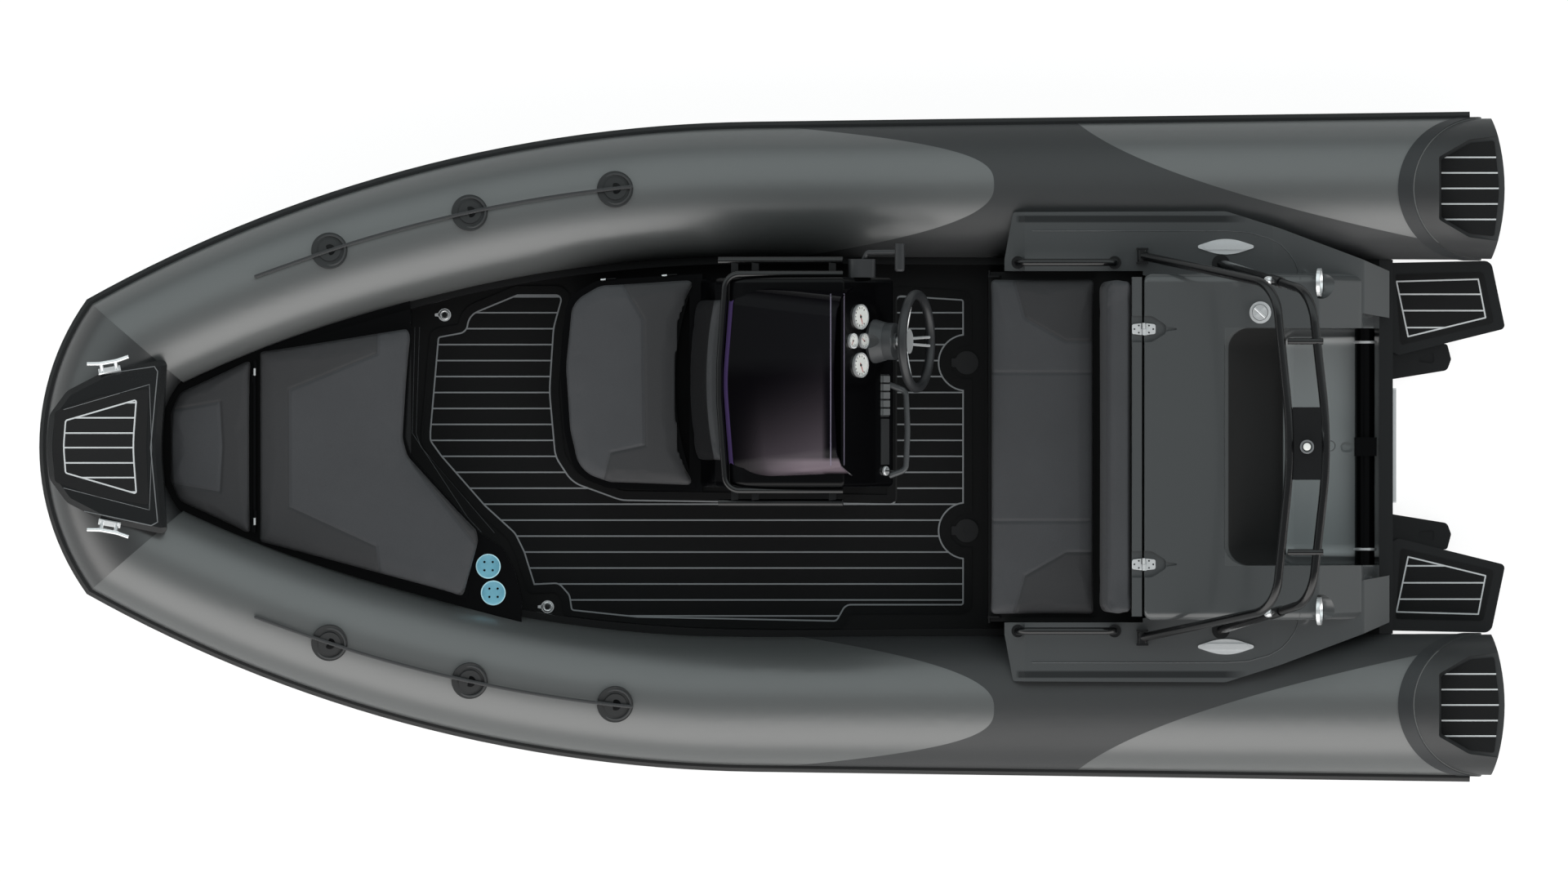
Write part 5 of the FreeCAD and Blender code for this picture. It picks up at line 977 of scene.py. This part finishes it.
def slope_place(x, y, foot, top, lift):
    """Place above the slope from foot to top, with the directions up it and out of it."""
    run = unit((top[0] - foot[0], 0.0, top[1] - foot[1]))
    out = np.array((-run[2], 0.0, run[0]))
    z = foot[1] + (top[1] - foot[1]) * (x - foot[0]) / (top[0] - foot[0])
    return np.array((x, y, z)) + out * lift, run, out


MARK_COUNT, DIAL_START, DIAL_SWEEP = 11, -130.0, 260.0
MARK_INNER, MARK_OUTER = 0.74, 0.90     # shares of the dial's radius
BLADE = np.array([(-0.20, -0.05), (0.72, -0.018), (0.72, 0.018), (-0.20, 0.05)])


def dial(x, y, radius, reading):
    """Marks round a dial through its sweep, a red needle at its reading and its hub."""
    centre, run, out = slope_place(x, y, DASH_FOOT, DASH_TOP, FACE_LIFT)
    port = np.cross(out, run)

    def heading(degrees):
        angle = math.radians(degrees)
        return math.cos(angle) * run - math.sin(angle) * port

    marks = []
    for number in range(MARK_COUNT):
        ahead = heading(DIAL_START + DIAL_SWEEP / (MARK_COUNT - 1) * number)
        width = radius * (0.034 if number % 2 else 0.055)
        start, end = MARK_INNER * radius, MARK_OUTER * radius
        bar = [(start, -width), (end, -width), (end, width), (start, width)]
        marks.append(laid(flat(bar, 0.0004), centre, ahead, np.cross(out, ahead)))
    ahead = heading(reading)
    needle = laid(flat(BLADE * radius, 0.0010), centre + out * 0.0006, ahead, np.cross(out, ahead))
    hub = turned(centre, out, [(0.12 * radius, 0.0), (0.12 * radius, 0.0022), (0.06 * radius, 0.0030)], 24)
    return marks + [hub], [needle]


dial_marks, dial_needles = [], []
for gauge, reading in zip(GAUGES, READINGS):
    marks, needles = dial(*gauge, reading)
    dial_marks += marks
    dial_needles += needles
fitted("dial_marks", "hull", "mark", *dial_marks)
fitted("dial_needles", "hull", "red", *dial_needles)

SWITCH_FOOT, KEY_PLACE = (-0.409, 0.690), (-0.3795, 0.082)
key_seat, _, key_axis = slope_place(*KEY_PLACE, SWITCH_FOOT, DASH_FOOT, 0.0)
fitted("key_lock_cap", "hull", "steel", turned(key_seat, key_axis, [
    (0.0152, 0.0010), (0.0160, 0.0015), (0.0160, 0.0086), (0.0146, 0.0100), (0.0110, 0.0100),
    (0.0104, 0.0092)]))


# Chrome fittings

def round_knob(seat, axis, radius, length):
    """Knob with a waisted foot and a domed end."""
    return turned(seat, axis, [
        (radius * 0.98, 0.0), (radius * 1.10, length * 0.08), (radius * 1.14, length * 0.55),
        (radius * 1.08, length * 0.80), (radius * 0.86, length * 0.95), (radius * 0.45, length)])


ARCH_KNOB = (-1.7006, 0.5650, 0.8517)
KNOB_AXIS = unit((0.8, 0.0, 0.6))
arch_knob = round_knob(np.array(ARCH_KNOB) + KNOB_AXIS * 0.011, KNOB_AXIS, 0.0122, 0.0255)
fitted("arch_knobs", "arch", "steel", arch_knob, mirrored(arch_knob))

WELL_TUBE_AXIS = (-2.026, 0.200)
WELL_COLLARS = (-0.358, 0.351)
COLLAR_PROFILE = [
    (0.0342, -0.0046), (0.0396, -0.0046), (0.0407, -0.0036),
    (0.0407, 0.0036), (0.0396, 0.0046), (0.0342, 0.0046)]
fitted("well_tube_collars", "hull", "steel", *[
    turned((WELL_TUBE_AXIS[0], y, WELL_TUBE_AXIS[1]), (0.0, 1.0, 0.0), COLLAR_PROFILE, 48, closed=True)
    for y in WELL_COLLARS])

LAMP_TOP = (-1.806, 0.0, 1.147)
fitted("arch_light_rim", "arch", "bead", turned(LAMP_TOP, (0.0, 0.0, 1.0), [
    (0.0222, -0.0080), (0.0236, -0.0070), (0.0236, 0.0008), (0.0222, 0.0022), (0.0176, 0.0022),
    (0.0172, -0.0080)], 48, closed=True))
# white disc at the dome's top: painted highlight
fitted("arch_light_highlight", "arch", "dial", turned(LAMP_TOP, (0.0, 0.0, 1.0), [
    (0.0128, -0.0010), (0.0128, 0.0006), (0.0100, 0.0018), (0.0050, 0.0025)], 36))

FILLER = (-1.658, -0.457)
STERN_TILT = math.radians(12.8)
STERN_NORMAL = np.array((-math.sin(STERN_TILT), 0.0, math.cos(STERN_TILT)))
STERN_AFT = np.array((-math.cos(STERN_TILT), 0.0, -math.sin(STERN_TILT)))
filler_top = np.array((*FILLER, roof(("fuel_filler",), *FILLER)))
grip = [(-0.024, -0.0042), (0.024, -0.0042), (0.024, 0.0042), (-0.024, 0.0042)]
grip_line = unit(STERN_AFT + np.array((0.0, 0.9, 0.0)))
fitted("filler_grip", "hull", "steel", laid(
    flat(grip, 0.0045, 0.001), filler_top - STERN_NORMAL * 0.0005, grip_line,
    np.cross(STERN_NORMAL, grip_line)))
fitted("filler_groove", "hull", "plastic", turned(filler_top, STERN_NORMAL, [
    (0.0268, -0.0008), (0.0282, -0.0008), (0.0282, 0.0003), (0.0268, 0.0003)], 48, closed=True))


# Hinges of the aft backrest: bright moving leaves, and dark screw heads on both leaves

HINGE = (-1.261, 0.735)
HINGE_YS = (-0.400, 0.400)
HINGE_DEPTH, LEAF_THICKNESS = 0.012, 0.005
SCREWS = ((0.017, -0.012), (0.017, 0.012), (0.032, 0.0))
SCREW_HEAD = [(0.0030, 0.0), (0.0030, 0.0005), (0.0022, 0.0009)]
KNUCKLE = [(0.0046, 0.0), (0.0053, 0.0006), (0.0053, 0.0201), (0.0046, 0.0207)]
leaf_top = HINGE[1] - HINGE_DEPTH + LEAF_THICKNESS
leaf = rounded_outline(mm([(6, -20.3, 3), (40, -16.3, 7), (40, 16.3, 7), (6, 20.3, 3)]), 0.002)
moving, moving_screws, fixed_screws = [], [], []
for y in HINGE_YS:
    moving.append(laid(flat(leaf, 0.0012, 0.0006), (HINGE[0], y, leaf_top - 0.0004), (1, 0, 0), (0, 1, 0)))
    moving.append(turned((HINGE[0], y - 0.021, HINGE[1]), (0, 1, 0), KNUCKLE, 24))
    for u, v in SCREWS:
        moving_screws.append(turned((HINGE[0] + u, y + v, leaf_top + 0.0008), (0, 0, 1), SCREW_HEAD, 20))
        bed = np.array((HINGE[0], y, HINGE[1] - HINGE_DEPTH))
        seat = bed + STERN_AFT * u + np.array((0.0, v, 0.0)) + STERN_NORMAL * LEAF_THICKNESS
        fixed_screws.append(turned(seat, STERN_NORMAL, SCREW_HEAD, 20))
fitted("hinge_leaves", "backrest_panel", "steel", *moving)
fitted("hinge_leaf_screws", "backrest_panel", "plastic", *moving_screws)
fitted("hinge_bed_screws", "hull", "plastic", *fixed_screws)


# Raised pale beads along edges: painted highlights on the bow moulding, the screen and the liner

MOULDING_RIM = mm([(2472, 120), (2440, 198), (2115, 268), (2093, 256), (2117, 3), (2093, -256), (2104, -273),
                   (2380, -231), (2451, -201)])
PAD_RIM = mm([(2414, -126), (2121, -212), (2113, 3), (2121, 215), (2414, 140)])
# pale beads: painted highlights along the bow moulding's rim and the pad's border
fitted("moulding_rim_highlight", "hull", "bead",
       swept(over_roof(("bow_moulding",), MOULDING_RIM, 0.0002), 0.0019, 10),
       swept(over_roof(("bow_moulding", "bow_step_pad"), PAD_RIM, 0.0), 0.0011, 8))

CONSOLE_Y, SCREEN_HALF = -0.227, 0.290
SCREEN_HIGHLIGHT_XS, SCREEN_HIGHLIGHT_YS = (-0.196, -0.241), (CONSOLE_Y - SCREEN_HALF, CONSOLE_Y + SCREEN_HALF)
# pale violet lines across the screen: painted highlights of its edges
fitted("screen_edge_highlights", "hull", "trim", *[
    swept(over_roof(("windshield", "console_body"), [(x, y) for y in SCREEN_HIGHLIGHT_YS], 0.0004), 0.0022, 10)
    for x in SCREEN_HIGHLIGHT_XS])

LINER_EDGES = (
    mm([(1228, -410), (1237, -47), (1047, 243), (1000, 293)]),
    mm([(1212, -410), (1224, -47), (1208, 0), (955, 296)]))
# pale beads on the black liner: painted highlights of its edges
fitted("liner_edge_highlights", "hull", "handle", *[
    swept(over_roof(("deck_liner",), edge, 0.0), 0.0014, 8) for edge in LINER_EDGES])


# Pad eyes on the floor: a dark core and a bright lug on each plate

PAD_EYES = mm([(1126, -452), (773, 549)])
PAD_EYE_PLATE_Z = 0.114
EYE_CORE = [(0.0094, -0.0006), (0.0094, 0.0004), (0.0086, 0.0008)]
EYE_LUG = mm([(18, -7, 2), (34, -5, 3), (34, 5, 3), (18, 7, 2)])
fitted("pad_eye_cores", "hull", "plastic", *[
    turned((x, y, PAD_EYE_PLATE_Z), (0, 0, 1), EYE_CORE, 28) for x, y in PAD_EYES])
fitted("pad_eye_lugs", "hull", "steel", *[
    laid(flat(rounded_outline(EYE_LUG, 0.0015), 0.0042, 0.0008), (x, y, PAD_EYE_PLATE_Z - 0.0042),
         (1, 0, 0), (0, 1, 0)) for x, y in PAD_EYES])


# Step along the inner edge of the stern's side decks

STERN_STEP = mm([(-883, 736), (-1544, 736), (-1620, 731), (-1692, 711), (-1733, 688), (-1759, 661),
                 (-1780, 630), (-1789, 605), (-1795, 569)])
stern_step = swept(over_roof(("stern_moulding",), STERN_STEP, 0.0), 0.0020, 8)
fitted("stern_step_beads", "hull", "handle", stern_step, mirrored(stern_step))


# Lifeline patches: a raised ring and a dark eye under the rope at each

PATCH_STATIONS = (1, 3, 5)
PATCH_OUT, PATCH_UP = 0.163, 0.987      # the way that a patch faces
PATCH_RING = [
    (0.056, -0.001), (0.055, 0.0015), (0.053, 0.0028), (0.050, 0.0028), (0.048, 0.0015), (0.047, -0.001)]
PATCH_EYE = [(0.019, -0.0006), (0.019, 0.0005), (0.017, 0.0008)]
ROPE_OVER_BOSS = 0.006
RING_UNDER_ROPE = 0.012
rings, eyes = [], []
for station in PATCH_STATIONS:
    before, at_patch, after = [np.array(LIFELINE[station + step]) for step in (-1, 0, 1)]
    along = after - before
    normal = unit(unit((along[1], -along[0], 0.0)) * PATCH_OUT + np.array((0.0, 0.0, PATCH_UP)))
    rings.append(turned(at_patch - normal * RING_UNDER_ROPE, normal, PATCH_RING, 48, closed=True))
    eyes.append(turned(at_patch - normal * ROPE_OVER_BOSS, normal, PATCH_EYE, 32))
fitted("patch_rings", "hull", "cap", *rings, *[mirrored(ring) for ring in rings])
fitted("patch_eyes", "hull", "black", *eyes, *[mirrored(eye) for eye in eyes])


# Rim of the well's drain

DRAIN = mm([(-1926, -20), (-1886, -20), (-1886, 14), (-1926, 14)])
drain_loop = rounded_outline([(x, y, 0.016) for x, y in DRAIN], 0.003)
fitted("well_drain_rim", "hull", "bead", swept(
    [(x, y, roof(("stern_moulding",), x, y) + 0.0004) for x, y in drain_loop], 0.0016, 8, closed=True))


# Floor, light and camera

GLOW = 1.12             # strength of the floor's own white
GLOW_SHARE = 0.8        # how much of the floor's white is its own, as the camera sees it
GLOSS_SHARE = 0.10      # and as a shiny surface sees it
GLOSS_WHITE = 0.35      # how far the floor's grey goes to white for a shiny surface
FLOOR_GREY, FLOOR_WHITE = (0.30, 0.30, 0.30, 1.0), (0.95, 0.95, 0.95, 1.0)


def ground():
    """A pale floor at the waterline: white to the camera and in reflections, where it keeps
    the boat's shadow, and grey to the light that it throws back up at the tubes."""
    reach = 12.0
    floor = mesh_object(
        "floor", [(-reach, -reach, 0), (reach, -reach, 0), (reach, reach, 0), (-reach, reach, 0)],
        [(0, 1, 2, 3)], "dial", False)
    material = bpy.data.materials.new("floor_white")
    tree, surface = bare_tree(material, "ShaderNodeOutputMaterial")
    matt = tree.nodes.new("ShaderNodeBsdfDiffuse")
    glow = tree.nodes.new("ShaderNodeEmission")
    glow.inputs["Color"].default_value = (1.0, 1.0, 1.0, 1.0)
    glow.inputs["Strength"].default_value = GLOW
    path = tree.nodes.new("ShaderNodeLightPath")
    seen, through, glossy = [
        Value(tree, path.outputs[f"Is {kind} Ray"]) for kind in ("Camera", "Transmission", "Glossy")]
    direct = seen.most(through)
    shade = tree.nodes.new("ShaderNodeMix")
    shade.data_type = "RGBA"
    plug(tree, direct.most(glossy * GLOSS_WHITE), shade.inputs[0])
    shade.inputs[6].default_value = FLOOR_GREY
    shade.inputs[7].default_value = FLOOR_WHITE
    tree.links.new(shade.outputs[2], matt.inputs["Color"])
    share = (direct * GLOW_SHARE).most(glossy * GLOSS_SHARE)
    tree.links.new(blended(tree, share, matt.outputs[0], glow.outputs[0]), surface)
    floor.data.materials.clear()
    floor.data.materials.append(material)


ground()


PORT_BANK = (2.1, (1.0, 0.985, 0.965))          # strength and colour of the bank of light to port
STARBOARD_BANK = (0.86, (0.90, 1.0, 1.0))
FILL = (0.23, (0.93, 0.98, 1.0))
PORT_RISE, PORT_FALL = (0.30, 0.78), (1.75, 1.35)       # ends of a bank's ramps, in radians
STARBOARD_RISE, STARBOARD_FALL = (0.06, 0.40), (1.58, 1.08)


def studio():
    """A world that is white behind the boat. As light it is a low grey with a broad bank of
    light along each side: how bright depends on a direction's angle round the boat's length,
    from straight up to the horizon, and rises and falls in straight ramps."""
    world = bpy.data.worlds.new("studio")
    bpy.context.scene.world = world
    tree, surface = bare_tree(world, "ShaderNodeOutputWorld")
    _, across, up = xyz(tree, tree.nodes.new("ShaderNodeTexCoord").outputs["Generated"])
    angle = across.maths("ARCTAN2", across, up)
    port = angle.ramp(*PORT_RISE) * angle.ramp(*PORT_FALL)
    starboard = (-angle).ramp(*STARBOARD_RISE) * (-angle).ramp(*STARBOARD_FALL)
    lights = []
    for share, (strength, colour) in ((port, PORT_BANK), (starboard, STARBOARD_BANK), (None, FILL)):
        bank = tree.nodes.new("ShaderNodeBackground")
        bank.inputs["Color"].default_value = (*colour, 1.0)
        plug(tree, strength if share is None else share * strength, bank.inputs["Strength"])
        lights.append(bank.outputs[0])
    total = lights[0]
    for light in lights[1:]:
        adder = tree.nodes.new("ShaderNodeAddShader")
        tree.links.new(total, adder.inputs[0])
        tree.links.new(light, adder.inputs[1])
        total = adder.outputs[0]
    white = tree.nodes.new("ShaderNodeBackground")
    white.inputs["Color"].default_value = (1.0, 1.0, 1.0, 1.0)
    path = tree.nodes.new("ShaderNodeLightPath")
    tree.links.new(blended(tree, path.outputs["Is Camera Ray"], total, white.outputs[0]), surface)


studio()
bpy.context.scene.view_settings.view_transform = "Standard"

# The photograph looks straight down from afar, the bow to the left
PHOTO_WIDTH, PHOTO_HEIGHT = 1920, 1080
ORIGIN_ACROSS, ORIGIN_DOWN = 946.5, 547.0       # where the frame's origin lies in the photograph
PIXEL = 0.002789                                # metres to one of its pixels
LENS = 500.0
SENSOR = 36.0
FOCUS_HEIGHT = 0.40
camera_data = bpy.data.cameras.new("camera")
camera_data.lens = LENS
camera_data.sensor_width = SENSOR
camera_data.clip_end = 400.0
camera = bpy.data.objects.new("camera", camera_data)
bpy.context.collection.objects.link(camera)
camera.location = (
    (ORIGIN_ACROSS - PHOTO_WIDTH / 2) * PIXEL, (PHOTO_HEIGHT / 2 - ORIGIN_DOWN) * PIXEL,
    FOCUS_HEIGHT + PHOTO_WIDTH * PIXEL * LENS / SENSOR)
camera.rotation_euler = (0.0, 0.0, math.pi)
bpy.context.scene.camera = camera
